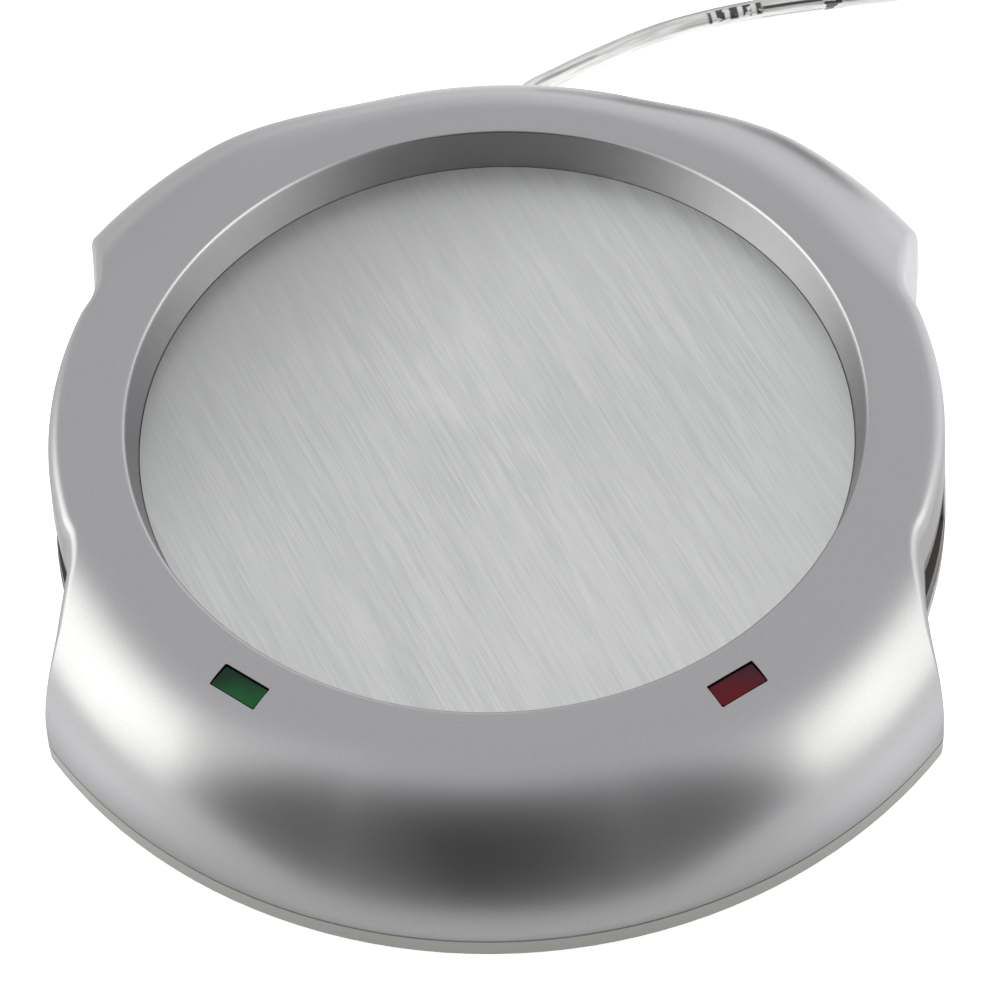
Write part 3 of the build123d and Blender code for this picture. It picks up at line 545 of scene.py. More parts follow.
def tinted_clear(name, colour, shaded_tint):
    """Clear tinted plastic: a satin face, with painted light and shade, paler at its front and deep at
    its rear.
    """
    material, tree, shader, where = start_material(name, IOR=1.45, Coat_Weight=0.08, Roughness=0.22)
    shader.inputs["Transmission Weight"].default_value = 0.10
    shader.inputs["Specular IOR Level"].default_value = 0.15
    prisms = noise(tree, where, 420.0, 2.0)
    # Painted light and shade: the tint is mixed paler towards the front of each window and deep at its
    # rear.
    lit = ramp(tree, split_xyz(tree, where)["Y"], LENS_FRONT_Y, LENS_REAR_Y, 0.85, 0.0)
    share = plus(tree, lit, spread(tree, prisms, -0.12, 0.12), clamp=True)
    tree.links.new(mix_colour(tree, share, rgb(*shaded_tint), rgb(*colour)), shader.inputs["Base Color"])
    add_bump(tree, shader, noise(tree, where, 700.0), 0.08, 0.02 * MM)
    return material


LENS_GREEN = tinted_clear("lens_green", (0.012, 0.115, 0.030), (0.004, 0.028, 0.016))
LENS_RED = tinted_clear("lens_red", (0.140, 0.006, 0.008), (0.062, 0.006, 0.018))
print("window plastics:", LENS_GREEN.name, LENS_RED.name)


# %% [markdown]
# Three finishes inside the housing have a pattern of their own.  A brick texture stands
# for the copper tracks under a board's green mask, squeezed noise for the fibres of
# pressed felt, and rings of a wave texture for the etched track of the heater film.

# %% Boards, felt and film
def solder_mask():
    """Green board: copper tracks show as ridges under the mask."""
    material, tree, shader, where = start_material("board_green", Roughness=0.32, Coat_Weight=0.3)
    tracks = add_node(tree, "ShaderNodeTexBrick")
    tracks.inputs["Scale"].default_value = 260.0
    tracks.inputs["Mortar Size"].default_value = 0.035
    tree.links.new(where, tracks.inputs["Vector"])
    base = mix_colour(tree, tracks.outputs["Fac"], rgb(0.012, 0.10, 0.035), rgb(0.03, 0.19, 0.07))
    tree.links.new(base, shader.inputs["Base Color"])
    add_bump(tree, shader, tracks.outputs["Fac"], 0.3, 0.03 * MM)
    return material


def felt():
    """Pressed mineral felt."""
    material, tree, shader, where = start_material("insulation", Roughness=0.95)
    fibres = noise(tree, stretched(tree, where, (2200.0, 500.0, 800.0)), 1.0, 5.0, 0.7)
    base = mix_colour(tree, fibres, rgb(0.60, 0.58, 0.52), rgb(0.80, 0.78, 0.72))
    tree.links.new(base, shader.inputs["Base Color"])
    add_bump(tree, shader, fibres, 0.6, 0.2 * MM)
    return material


def amber_film():
    """Amber film with the etched heater track showing through as rings."""
    material, tree, shader, where = start_material("heater_film", Roughness=0.25, Coat_Weight=0.5)
    rings = add_node(tree, "ShaderNodeTexWave", wave_type="RINGS", rings_direction="Z")
    rings.inputs["Scale"].default_value = 90.0
    tree.links.new(where, rings.inputs["Vector"])
    track = ramp(tree, rings.outputs["Fac"], 0.3, 0.5)
    base = mix_colour(tree, track, rgb(0.42, 0.18, 0.03), rgb(0.62, 0.36, 0.14))
    tree.links.new(base, shader.inputs["Base Color"])
    return material


BOARD = solder_mask()
FELT = felt()
FILM = amber_film()
print("materials now, with the frame's own:", len(bpy.data.materials))

# %% [markdown]
# A solid whose shape is already right keeps it and only gets its finish.  The table of
# finishes below follows the record's material slots, by the start of each solid's name.

# %% Dress the solids
FINISHES = {
    "bottom_cover": BASE_GREY,
    "port_bezel": DARK_INSERT,
    "heating_plate": PLATE,
    "heater_film": FILM,
    "insulation_pad": FELT,
    "heater_clamp": CLAMP_STEEL,
    "thermal_cutout": CUTOUT_CASE,
    "clamp_screws": SCREW_STEEL,
    "led_screws": SCREW_STEEL,
    "board_screws": SCREW_STEEL,
    "case_screws": SCREW_STEEL,
    "main_board": BOARD,
    "led_board": BOARD,
    "switch_board": BOARD,
    "hub_chip": EPOXY,
    "regulator": EPOXY,
    "crystal_can": CAN_METAL,
    "capacitors": CAN_METAL,
    "heater_switch": CAN_METAL,
    "switch_slider": DARK_INSERT,
    "green_led": LAMP_GREEN,
    "red_led": LAMP_RED,
    "heater_leads": LEAD_WHITE,
    "switch_leads": LEAD_WHITE,
    "input_leads": LEAD_RED,
    "rubber_feet": RUBBER,
    "strain_relief": DARK_INSERT,
    "usb_socket": TIN_PLATE,
    "usb_blade": INSULATOR,
    "plug_shell": TIN_PLATE,
    "plug_blade": INSULATOR,
    "plug_body": GRIP,
}


def dress_solids():
    """Give each solid its finish."""
    dressed = 0
    for name, solid in nodes.items():
        for start, material in FINISHES.items():
            if name.startswith(start):
                solid.data.materials.clear()
                solid.data.materials.append(material)
                dressed += 1
    print("solids dressed:", dressed)


dress_solids()

# %% [markdown]
# The cover is one moulding: a flat ring round the well, and outside it a surface that
# rolls down to the table.  Its section changes all the way round.  At the sides it is
# the ring's own shoulder, at the middle of the front and back it falls away early, and
# at the four lobes it swells.  A rule gives the section at each angle, so the mesh is a
# band of sections joined into a closed loop, and no modelling by hand is needed.  First
# come the rule's sizes.  Heights, radii and reaches are in millimetres, and drafts are
# slopes of the wall.  Angles are in degrees from the side, but for the dip they are
# counted from the middle of the front or back.

# %% Sizes of the cover
SEAM = 4.8
RING_TOP = 24.15
WELL_LOW = 17.85
SKIRT_RADIUS = 72.5
RING_RADIUS = 61.45
RING_FLAT = 57.6
ROLL_FROM = 54.5
END_FACE_X = 55.8
END_FACE_SLOPE = math.tan(math.radians(5.2))
NOTCH_BLEND = 0.6
CORNER_BLEND = 0.4
WALL = 2.0
WELL_RIM = 50.0
WELL_FOOT = 48.58
RIM_ROUND = 0.55
WELL_TUBE = WELL_RIM + WALL
DIP_FROM, DIP_TO = 16.0, 38.7
DIP_REACH, DIP_HANDLE_IN, DIP_HANDLE_UP = 6.8, 1.75, 5.85
LOBE_REACH, LOBE_HANDLE_IN, LOBE_HANDLE_UP = 8.05, 0.3, 11.1
RING_SIDE_FROM, RING_SIDE_TO = 14.4, 32.3
RING_SIDE_REACH = 6.4
SKIRT_LAND = 1.0
END_DRAFT, SIDE_DRAFT = 0.137, 0.052
SHOULDER_SIZE, END_EDGE_SIZE, LAND_EDGE_SIZE = 1.9, 1.5, 0.6
SHOULDER_TO, SKIRT_FROM, CHANGE_OVER = 17, 30, 8
print("cover: millimetres from its seam to its top:", round(RING_TOP - SEAM, 2))

# %% Plan and curves
HALVINGS = 34
FAR_OUT = 5 * SKIRT_RADIUS
NEARLY_ALONG = 0.2


def blend(low, high, share):
    """Straight mix of two numbers."""
    return low + (high - low) * share


def ease(share):
    """Smooth step from 0 to 1."""
    share = min(max(share, 0.0), 1.0)
    return share * share * (3 - 2 * share)


def seam_radius(angle):
    """Radius of the plan at an angle from the X axis, in the first quarter."""
    turn = math.radians(angle)
    closing = math.cos(turn) - END_FACE_SLOPE * math.sin(turn)
    end_face = END_FACE_X / closing if closing > NEARLY_ALONG else FAR_OUT
    larger = (RING_RADIUS + end_face + math.hypot(RING_RADIUS - end_face, NOTCH_BLEND)) / 2
    return (SKIRT_RADIUS + larger - math.hypot(SKIRT_RADIUS - larger, CORNER_BLEND)) / 2


def on_curve(handles, share):
    """A point of a cubic curve."""
    back = 1 - share
    weights = np.array((back**3, 3 * back * back * share, 3 * back * share * share, share**3))
    return weights @ np.array(handles)


def last_share(test):
    """The largest share of a curve, from its start, for which a test holds."""
    low, high = 0.0, 1.0
    for _ in range(HALVINGS):
        middle = (low + high) / 2
        low, high = (middle, high) if test(middle) else (low, middle)
    return low


def first_part(handles, share):
    """The handles of a cubic curve's first part."""
    pairs = zip(handles, handles[1:])
    first, second, third = (blend(np.array(a), np.array(b), share) for a, b in pairs)
    fourth, fifth = blend(first, second, share), blend(second, third, share)
    return [np.array(handles[0]), first, fourth, blend(fourth, fifth, share)]


print("cover: seam radius at side, lobe and front:", [round(seam_radius(a), 1) for a in (0, 45, 90)])

# %% [markdown]
# A section's outside has three stretches.  The first rolls off the ring towards the
# table, and the wall cuts it off.  Where the two meet there would be a sharp edge, so a
# second curve rounds it, and below that the drafted wall runs straight to the seam.  The
# inside follows the same rule with the wall's thickness taken off.

# %% Rule for the cover's section
ROUNDING = 0.62
EDGE_BELOW, EDGE_BELOW_MOST = 1.15, 0.6
SHORTEST_ROLL = 0.01


def roll_curve(angle, inset):
    """The curve that rolls off the ring and down to the skirt, before it is cut."""
    lobe = ease((90 - angle - DIP_FROM) / (DIP_TO - DIP_FROM))
    off_side = ease((angle - RING_SIDE_FROM) / (RING_SIDE_TO - RING_SIDE_FROM))
    foot = (SKIRT_RADIUS - inset, SEAM + SKIRT_LAND)
    flat = blend(RING_FLAT, ROLL_FROM, off_side)
    reach = blend(DIP_REACH, blend(RING_SIDE_REACH, LOBE_REACH, off_side), lobe) - inset / 4
    handle_in = blend(DIP_HANDLE_IN, LOBE_HANDLE_IN, lobe)
    handle_up = blend(DIP_HANDLE_UP, LOBE_HANDLE_UP, lobe) - inset / 2
    return [
        (flat, RING_TOP - inset),
        (flat + reach, RING_TOP - inset),
        (foot[0] - handle_in, foot[1] + handle_up),
        foot,
    ]


def flank(angle, inset):
    """The roll, the rounded edge and the wall at an angle, as (radius, height)."""
    roll = roll_curve(angle, inset)
    beside_ring = 1 - ease((angle - SHOULDER_TO) / CHANGE_OVER)
    at_skirt = ease((angle - SKIRT_FROM) / CHANGE_OVER)
    draft = blend(blend(END_DRAFT, SIDE_DRAFT, beside_ring), 0.0, at_skirt)
    edge = blend(blend(END_EDGE_SIZE, SHOULDER_SIZE, beside_ring), LAND_EDGE_SIZE, at_skirt)
    foot_here = seam_radius(angle) - inset

    def inside(share):
        radius, height = on_curve(roll, share)
        return radius < foot_here - draft * (height - SEAM)

    meeting = on_curve(roll, last_share(inside))
    leaving = last_share(lambda s: inside(s) and math.dist(on_curve(roll, s), meeting) > edge)
    top = first_part(roll, max(leaving, SHORTEST_ROLL))
    low = meeting[1] - min(EDGE_BELOW * edge, EDGE_BELOW_MOST * (meeting[1] - SEAM))
    landing = np.array((foot_here - draft * (low - SEAM), low))
    along = (top[3] - top[2]) / math.dist(top[3], top[2])
    rounded = [
        top[3],
        top[3] + along * ROUNDING * math.dist(top[3], meeting),
        blend(landing, meeting, ROUNDING),
        landing,
    ]
    return top, rounded, np.array((foot_here, SEAM))


# %% [markdown]
# One section is a closed line of points: up the well's wall, over its rounded rim,
# across the flat of the ring, down the outside to the seam, and back inside the wall.
# The outside gets many points, since it is seen, and the inside few.  Every section has
# the same number of them, so each point joins its fellow in the next section.

# %% Lines of a section
STRAIGHT_STEPS = 6
ROLL_STEPS = 30
EDGE_STEPS = 12
WALL_STEPS = 8
FOOT_ROUND = ((0, 0.18), (-0.05, 0.05), (-0.18, 0))
INNER_EDGE_SHARES = (0.6, 0.3)
INNER_ROLL_SHARES = (1.0, 0.85, 0.7, 0.5, 0.3, 0.15, 0.0)


def straight(low, high, steps):
    """Points from one place up to, but without, another."""
    return [blend(low, high, step / steps) for step in range(steps)]


def curved(handles, steps):
    """Points along a cubic curve, without its end."""
    return [on_curve(handles, step / steps) for step in range(steps)]


def outer_line(angle):
    """Points of the visible side of a section, from the well's foot to the seam."""
    slope = (WELL_RIM - WELL_FOOT) / (RING_TOP - WELL_LOW)
    rim_low = np.array((WELL_RIM - slope * RIM_ROUND, RING_TOP - RIM_ROUND))
    rim_high = np.array((WELL_RIM + RIM_ROUND, RING_TOP))
    rim = [rim_low, rim_low, np.array((WELL_RIM, RING_TOP)), rim_high]
    top, rounded, foot = flank(angle, 0.0)
    line = straight(np.array((WELL_FOOT, WELL_LOW)), rim_low, STRAIGHT_STEPS)
    line += curved(rim, STRAIGHT_STEPS)
    line += straight(rim_high, top[0], STRAIGHT_STEPS)
    line += curved(top, ROLL_STEPS)
    line += curved(rounded, EDGE_STEPS)
    line += straight(rounded[3], foot, WALL_STEPS)
    return line + [foot + np.array(step) for step in FOOT_ROUND]


def inner_line(angle):
    """Points of the hidden side of a section, from the seam back to the well's foot."""
    top, rounded, foot = flank(angle, WALL)
    line = [foot, rounded[3]]
    line += [on_curve(rounded, share) for share in INNER_EDGE_SHARES]
    line += [on_curve(top, share) for share in INNER_ROLL_SHARES]
    return line + [np.array((WELL_TUBE, RING_TOP - WALL)), np.array((WELL_TUBE, WELL_LOW))]


print("cover: points in each section:", len(outer_line(45)) + len(inner_line(45)))

# %% [markdown]
# Now the sections are set round the middle.  The Spin tool would do for a round body, but
# here each angle has a section of its own.  Columns stand close together where the plan
# turns, and wider elsewhere.  All four quarters are alike, so a section is worked out
# once and used in each of them.

# %% Cover mesh
COARSE_STEP, FINE_STEP = 1.0, 0.25
FINE_FROM, FINE_TO = 15, 38


def cover_angles():
    """Angles of the columns round the cover: closest where the plan turns."""
    quarter = [
        *np.arange(0, FINE_FROM, COARSE_STEP),
        *np.arange(FINE_FROM, FINE_TO, FINE_STEP),
        *np.arange(FINE_TO, 90, COARSE_STEP),
    ]
    half = quarter + [180 - angle for angle in reversed(quarter[1:])]
    half.insert(len(quarter), 90.0)
    return half + [180.0 + angle for angle in half]


def quarter_angle(angle):
    """The angle folded into the first quarter."""
    folded = angle % 180
    return folded if folded <= 90 else 180 - folded


def band_points(angles, line_at):
    """The points of a band, section by section, worked out once for each quarter."""
    lines = {}
    points = []
    for angle in angles:
        folded = round(quarter_angle(angle), 4)
        if folded not in lines:
            lines[folded] = line_at(folded)
        turn = math.radians(angle)
        for radius, height in lines[folded]:
            points.append((radius * math.cos(turn) * MM, radius * math.sin(turn) * MM, height * MM))
    return points


def band(name, angles, line_at, material):
    """A closed band: one loop of points at each angle, joined to the next."""
    points = band_points(angles, line_at)
    count, rows = len(angles), len(points) // len(angles)
    faces = []
    for column in range(count):
        here, there = column * rows, (column + 1) % count * rows
        for row in range(rows):
            below = (row + 1) % rows
            faces.append((here + row, there + row, there + below, here + below))
    return new_piece(name, points, faces, material)


cover = band("cover_shell", cover_angles(), lambda angle: outer_line(angle) + inner_line(angle), SILVER)
outward(cover)
print("cover: faces before its windows are cut:", len(cover.data.polygons))

# %% [markdown]
# The windows are cut with a Boolean modifier.  All the cutters are joined into one
# object first, so the cut is made once: four port windows with rounded tops, two lamp
# windows, the slot for the heater switch, and the bore for the cord.  Each cutter is a
# prism: an outline in its own XY plane, drawn out between two levels and then placed.

# %% Places of the windows
PORT_Y = 13.3
PORT_WIDTH = 16.0
PORT_HEIGHT = 10.9
PORT_CORNER = 1.6
PORT_CUT = (54, 70)
BELOW_SEAM = 1.0
LENS_X = 31.95
LENS_Y = 45.8
LENS_WIDTH = 7.2
LENS_DEPTH = 3.6
LENS_CORNER = 0.25
LENS_CUT = (20, 30)
SWITCH_TURN = 18.0
SWITCH_LEVEL = 8.1
SLOT_WIDTH = 7.4
SLOT_HEIGHT = 4.0
SLOT_CORNER = 0.5
SLOT_CUT = (66.2, 80)
CORD_X = 0.4
CORD_Z = 4.9
BORE_RADIUS = 2.45
BORE_SIDES = 40
BORE_CUT = (66, 80)


def upright(direction):
    """Turn a prism's own Z towards a level direction, in degrees, and its Y upwards."""
    turn = math.radians(direction)
    out = Vector((math.cos(turn), math.sin(turn), 0))
    up = Vector((0, 0, 1))
    return Matrix((up.cross(out), up, out)).transposed().to_4x4()


def at(x, y, z):
    """A place in millimetres, as a matrix."""
    return Matrix.Translation(Vector((x, y, z)) * MM)


def lens_matrix(side):
    """The place of a lamp window: side -1 left, +1 right."""
    return at(side * LENS_X, -LENS_Y, 0) @ Matrix.Rotation(side * math.atan2(LENS_X, LENS_Y), 4, "Z")


# %% Window cutters
def prism(outline, low, high, matrix):
    """A closed prism: an outline in its XY plane between two levels, then placed."""
    form = bmesh.new()
    lower = [form.verts.new((x * MM, y * MM, low * MM)) for x, y in outline]
    upper = [form.verts.new((x * MM, y * MM, high * MM)) for x, y in outline]
    form.faces.new(lower)
    form.faces.new(upper)
    for index, vertex in enumerate(lower):
        after = (index + 1) % len(lower)
        form.faces.new((vertex, lower[after], upper[after], upper[index]))
    bmesh.ops.recalc_face_normals(form, faces=form.faces)
    mesh = bpy.data.meshes.new("cutter")
    form.to_mesh(mesh)
    form.free()
    mesh.transform(matrix)
    made = bpy.data.objects.new("cutter", mesh)
    bpy.context.scene.collection.objects.link(made)
    return made


def rounded_box(width, height, radius, steps=6, square_foot=False):
    """Outline of a box with round corners, centred; its two lower ones may be square."""
    outline = []
    for quarter, (sx, sy) in enumerate(((1, 1), (-1, 1), (-1, -1), (1, -1))):
        if square_foot and sy < 0:
            outline.append((sx * width / 2, sy * height / 2))
            continue
        centre = (sx * (width / 2 - radius), sy * (height / 2 - radius))
        for step in range(steps + 1):
            turn = math.radians(90 * quarter + 90 * step / steps)
            outline.append((centre[0] + radius * math.cos(turn), centre[1] + radius * math.sin(turn)))
    return outline


def circle(radius, sides):
    """Outline of a circle."""
    turns = [math.radians(360 * side / sides) for side in range(sides)]
    return [(radius * math.cos(turn), radius * math.sin(turn)) for turn in turns]


def window_cutters():
    """Every window of the cover, as one object."""
    parts = []
    port = rounded_box(PORT_WIDTH, PORT_HEIGHT + BELOW_SEAM, PORT_CORNER, square_foot=True)
    for direction in (0, 180):
        for row in (1, -1):
            centre = at(0, row * PORT_Y, SEAM + PORT_HEIGHT / 2 - BELOW_SEAM / 2)
            parts.append(prism(port, *PORT_CUT, centre @ upright(direction)))
    for side in (-1, 1):
        lens = rounded_box(LENS_WIDTH, LENS_DEPTH, LENS_CORNER)
        parts.append(prism(lens, *LENS_CUT, lens_matrix(side)))
    slot = Matrix.Rotation(math.radians(SWITCH_TURN), 4, "Z") @ at(0, 0, SWITCH_LEVEL) @ upright(90)
    parts.append(prism(rounded_box(SLOT_WIDTH, SLOT_HEIGHT, SLOT_CORNER), *SLOT_CUT, slot))
    bore = circle(BORE_RADIUS, BORE_SIDES)
    parts.append(prism(bore, *BORE_CUT, at(CORD_X, 0, CORD_Z) @ upright(90)))
    print("cover: openings to cut:", len(parts))
    return joined(parts)


def cut_windows(piece):
    """Cut the windows out of the cover and shade it."""
    cutter = window_cutters()
    cut = piece.modifiers.new("windows", "BOOLEAN")
    cut.operation = "DIFFERENCE"
    cut.solver = "MANIFOLD"
    cut.object = cutter
    bake(piece)
    remove(cutter)
    shade_smooth(piece)


cut_windows(cover)
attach(cover, HOUSING)
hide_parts("top_cover")
print("cover: faces with its windows cut:", len(cover.data.polygons))

# %% [markdown]
# The lamp windows hold small blocks of tinted clear plastic.  Each is a box with eased
# edges that sits a little below the ring, so the paint's edge shows round it, and a
# wider flange below the cover holds it.  A Bevel modifier eases the edges.

# %% Lamp windows
LENS_TOP = RING_TOP - 0.32
LENS_LOW = 21.3
FLANGE_TOP = 22.1
FLANGE_CORNER = 0.3
LENS_GAP = 0.15
LENS_FLANGE = 0.8
EASED_BY = 0.12


def lens_part(margin, corner, low, high, side):
    """One box of a lamp window, wider than the hole by a margin all round."""
    outline = rounded_box(LENS_WIDTH + 2 * margin, LENS_DEPTH + 2 * margin, corner)
    part = prism(outline, low, high, lens_matrix(side))
    soft = part.modifiers.new("eased", "BEVEL")
    soft.width = EASED_BY * MM
    soft.segments = 3
    bake(part)
    return part


def lamp_window(name, side, material, solid):
    """One tinted block with its flange below the cover."""
    block = lens_part(-LENS_GAP, LENS_CORNER, FLANGE_TOP, LENS_TOP, side)
    joined([block, lens_part(LENS_FLANGE, FLANGE_CORNER, LENS_LOW, FLANGE_TOP, side)])
    block.name = name
    block.data.materials.clear()
    block.data.materials.append(material)
    shade_smooth(block)
    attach(block, HOUSING)
    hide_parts(solid)
    print(name, "faces:", len(block.data.polygons))


lamp_window("green_window", -1, LENS_GREEN, "green_lens")
lamp_window("red_window", 1, LENS_RED, "red_lens")

# %% [markdown]
# Small metal strips repeat in rows: contacts in the sockets and in the plug, and the
# legs of the chip.  One Geometry Nodes tree makes such a row.  It has named inputs for
# the strip's size and pitch, and ends in Realize Instances and Set Material, so that the
# result is plain mesh.

# %% Row of strips
def make_row_tree():
    """Geometry Nodes: a row of equal strips along Y."""
    tree = bpy.data.node_groups.new("row of strips", "GeometryNodeTree")
    socket(tree, "Geometry", "NodeSocketGeometry", "OUTPUT")
    socket(tree, "Count", "NodeSocketInt", "INPUT", 4)
    socket(tree, "Pitch", "NodeSocketFloat", "INPUT", 2.5 * MM)
    socket(tree, "Size", "NodeSocketVector", "INPUT", (6 * MM, MM, 0.2 * MM))
    socket(tree, "Material", "NodeSocketMaterial", "INPUT")
    given, result = tree.nodes.new("NodeGroupInput"), tree.nodes.new("NodeGroupOutput")
    line = tree.nodes.new("GeometryNodeMeshLine")
    step = tree.nodes.new("ShaderNodeCombineXYZ")
    strip = tree.nodes.new("GeometryNodeMeshCube")
    copies = tree.nodes.new("GeometryNodeInstanceOnPoints")
    real = tree.nodes.new("GeometryNodeRealizeInstances")
    finish = tree.nodes.new("GeometryNodeSetMaterial")
    tree.links.new(given.outputs["Count"], line.inputs["Count"])
    tree.links.new(given.outputs["Pitch"], step.inputs["Y"])
    tree.links.new(step.outputs["Vector"], line.inputs["Offset"])
    tree.links.new(given.outputs["Size"], strip.inputs["Size"])
    tree.links.new(line.outputs["Mesh"], copies.inputs["Points"])
    tree.links.new(strip.outputs["Mesh"], copies.inputs["Instance"])
    tree.links.new(copies.outputs["Instances"], real.inputs["Geometry"])
    tree.links.new(real.outputs["Geometry"], finish.inputs["Geometry"])
    tree.links.new(given.outputs["Material"], finish.inputs["Material"])
    tree.links.new(finish.outputs["Geometry"], result.inputs["Geometry"])
    return tree


ROW_TREE = make_row_tree()
print("row of strips: nodes in its tree:", len(ROW_TREE.nodes))


def strip_row(name, count, pitch, size, material, places):
    """Rows of strips, centred on each place, joined into one plain mesh."""
    carrier = bpy.data.objects.new(name, bpy.data.meshes.new(name))
    bpy.context.scene.collection.objects.link(carrier)
    row = carrier.modifiers.new("row", "NODES")
    row.node_group = ROW_TREE
    size = [value * MM for value in size]
    wanted = {"Count": count, "Pitch": pitch * MM, "Size": size, "Material": material}
    for item in ROW_TREE.interface.items_tree:
        if item.in_out == "INPUT":
            row[item.identifier] = wanted[item.name]
    bake(carrier)
    centring = at(0, -pitch * (count - 1) / 2, 0)
    form = bmesh.new()
    for place in places:
        copy = carrier.data.copy()
        copy.transform(place @ centring)
        form.from_mesh(copy)
        bpy.data.meshes.remove(copy)
    form.to_mesh(carrier.data)
    form.free()
    if material.name not in carrier.data.materials:
        carrier.data.materials.append(material)
    print(name, "strips:", count * len(places))
    return carrier


# %% [markdown]
# A socket's four contacts lie under its insulating blade, and the hub's chip has a row
# of legs on each of its four sides.  Both are rows of strips, turned to their places.

# %% Contacts and chip legs
CONTACTS, CONTACT_PITCH = 4, 2.4
PORT_CONTACT = (7.6, 1.0, 0.16)
PORT_CONTACT_X = 51.2
BLADE_FACE_Z = 10.05
LEGS_A_SIDE, LEG_PITCH = 11, 0.7
LEG = (1.1, 0.32, 0.2)
LEG_OUT, LEG_UP = 0.5, 0.17
CHIP_SIDE = 9.0
BOARD_TOP = 7.2


def about_z(degrees):
    """A turn about the Z axis."""
    return Matrix.Rotation(math.radians(degrees), 4, "Z")


def port_contacts():
    """Four gold strips under the blade of each socket."""
    places = []
    level = BLADE_FACE_Z - PORT_CONTACT[2] / 2
    for side, turn in ((1, 0), (-1, 180)):
        for row in (1, -1):
            places.append(about_z(turn) @ at(PORT_CONTACT_X, side * row * PORT_Y, level))
    made = strip_row("port_contacts", CONTACTS, CONTACT_PITCH, PORT_CONTACT, GOLD, places)
    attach(made, HOUSING)


def chip_legs():
    """Eleven legs on each side of the hub's chip."""
    place = at(CHIP_SIDE / 2 + LEG_OUT, 0, BOARD_TOP + LEG_UP)
    places = [about_z(90 * quarter) @ place for quarter in range(4)]
    made = strip_row("chip_legs", LEGS_A_SIDE, LEG_PITCH, LEG, CAN_METAL, places)
    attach(made, HOUSING)


port_contacts()
chip_legs()

# %% [markdown]
# The cord is one line: out of the gland, down to the table, round to the coil, eight and
# a half turns in two columns, and out to the plug.  A quadratic NURBS spline takes the
# route's places as control points.  The coil's turns come from a loop: the first column
# climbs a diameter at each turn, and the second steps down outside it.

# %% Cord route
CORD_DIAMETER = 3.1
CORD_ROUTE = [
    (0.4, 66.0, 4.9),
    (0.4, 71.5, 4.9),
    (2.6, 76.5, 3.9),
    (6.6, 80.3, 2.5),
    (13.6, 85.6, 1.6),
    (23.0, 90.8, 1.6),
    (36.0, 94.9, 1.6),
    (51.5, 97.5, 1.6),
]
TAIL_ROUTE = [
    (47.8, 130.0, 2.8),
    (42.4, 126.5, 4.05),
    (37.6, 123.6, 4.05),
]
print("cord: places set by hand:", len(CORD_ROUTE) + len(TAIL_ROUTE))

# %% Turns of the coil
COIL_CENTRE = (63.0, 118.3)
INNER_COLUMN = 15.5
OUTER_COLUMN = INNER_COLUMN + CORD_DIAMETER
COIL_START, COIL_END = -80.7, 125.0
LEVELS = 5
FLOOR_Z = 1.6
TURN_POINTS = 16
TURNS = 8 + (COIL_END - COIL_START) / 360
SWING_IN = 0.25
SWING_OUT, SWING_OUT_BEFORE = 0.26, 0.28
CLIMB = 0.4
DROP, DROP_AFTER = 0.35, 0.1


def coil_radius(turn):
    """Which column the cord is in after so many turns."""
    inwards = ease(turn / SWING_IN)
    outwards = ease((turn - (LEVELS - SWING_OUT_BEFORE)) / SWING_OUT)
    return blend(OUTER_COLUMN, INNER_COLUMN, inwards - outwards)


def coil_height(turn):
    """How high the cord lies after so many turns."""
    climbs = sum(ease((turn - (step - CLIMB / 2)) / CLIMB) for step in range(1, LEVELS))
    drops = sum(ease((turn - (LEVELS + step + DROP_AFTER)) / DROP) for step in range(LEVELS - 1))
    return FLOOR_Z + CORD_DIAMETER * (climbs - drops)


def coil_points():
    """Control points of the coil's turns."""
    count = round(TURNS * TURN_POINTS)
    fuller = 1 / math.cos(math.pi / TURN_POINTS) ** 0.5
    centre_x, centre_y = COIL_CENTRE
    points = []
    for index in range(count + 1):
        turn = TURNS * index / count
        angle = math.radians(COIL_START + 360 * turn)
        radius = coil_radius(turn) * fuller
        x, y = centre_x + radius * math.cos(angle), centre_y + radius * math.sin(angle)
        points.append((x, y, coil_height(turn)))
    return points


print("coil: turns", round(TURNS, 2))

# %% Line of the cord
SHORTEST_STEP = 1e-7


def nurbs_line(points):
    """Points read from a quadratic NURBS spline through a route, in metres."""
    curve = bpy.data.curves.new("route", "CURVE")
    curve.dimensions = "3D"
    curve.resolution_u = 6
    spline = curve.splines.new("NURBS")
    spline.points.add(len(points) - 1)
    for target, point in zip(spline.points, points):
        target.co = (*(value * MM for value in point), 1)
    spline.order_u = 3
    spline.use_endpoint_u = True
    carrier = bpy.data.objects.new("route", curve)
    bpy.context.scene.collection.objects.link(carrier)
    mesh = evaluated_mesh(carrier)
    line = [vertex.co.copy() for vertex in mesh.vertices]
    bpy.data.meshes.remove(mesh)
    remove(carrier)
    return [line[0]] + [b for a, b in zip(line, line[1:]) if (b - a).length > SHORTEST_STEP]


cord_line = nurbs_line(CORD_ROUTE + coil_points() + TAIL_ROUTE)

# %% [markdown]
# The cord's body is a tube round that line.  A bevelled curve would do, but a tube made
# here can carry a UV map that says where each point is: a share of a turn across, and
# metres from the cord's start along.  The jacket's pattern needs both.  Each ring of the tube
# takes the last ring's direction and turns it as little as it can, so the tube never
# twists.

# %% Cord tube
TUBE_SIDES = 18
TUBE_SHARP_TURN = 50


def tube_rings(form, line, radius, sides):
    """Rings of vertices round a line, each turned as little as possible from the last."""
    normal = Vector((0, 0, 1))
    rings = []
    for index, point in enumerate(line):
        ahead = line[min(index + 1, len(line) - 1)] - line[max(index - 1, 0)]
        ahead.normalize()
        normal = (normal - ahead * normal.dot(ahead)).normalized()
        side = ahead.cross(normal)
        ring = []
        for step in range(sides):
            turn = 2 * math.pi * step / sides
            out = normal * math.cos(turn) + side * math.sin(turn)
            ring.append(form.verts.new(point + out * radius))
        rings.append(ring)
    return rings


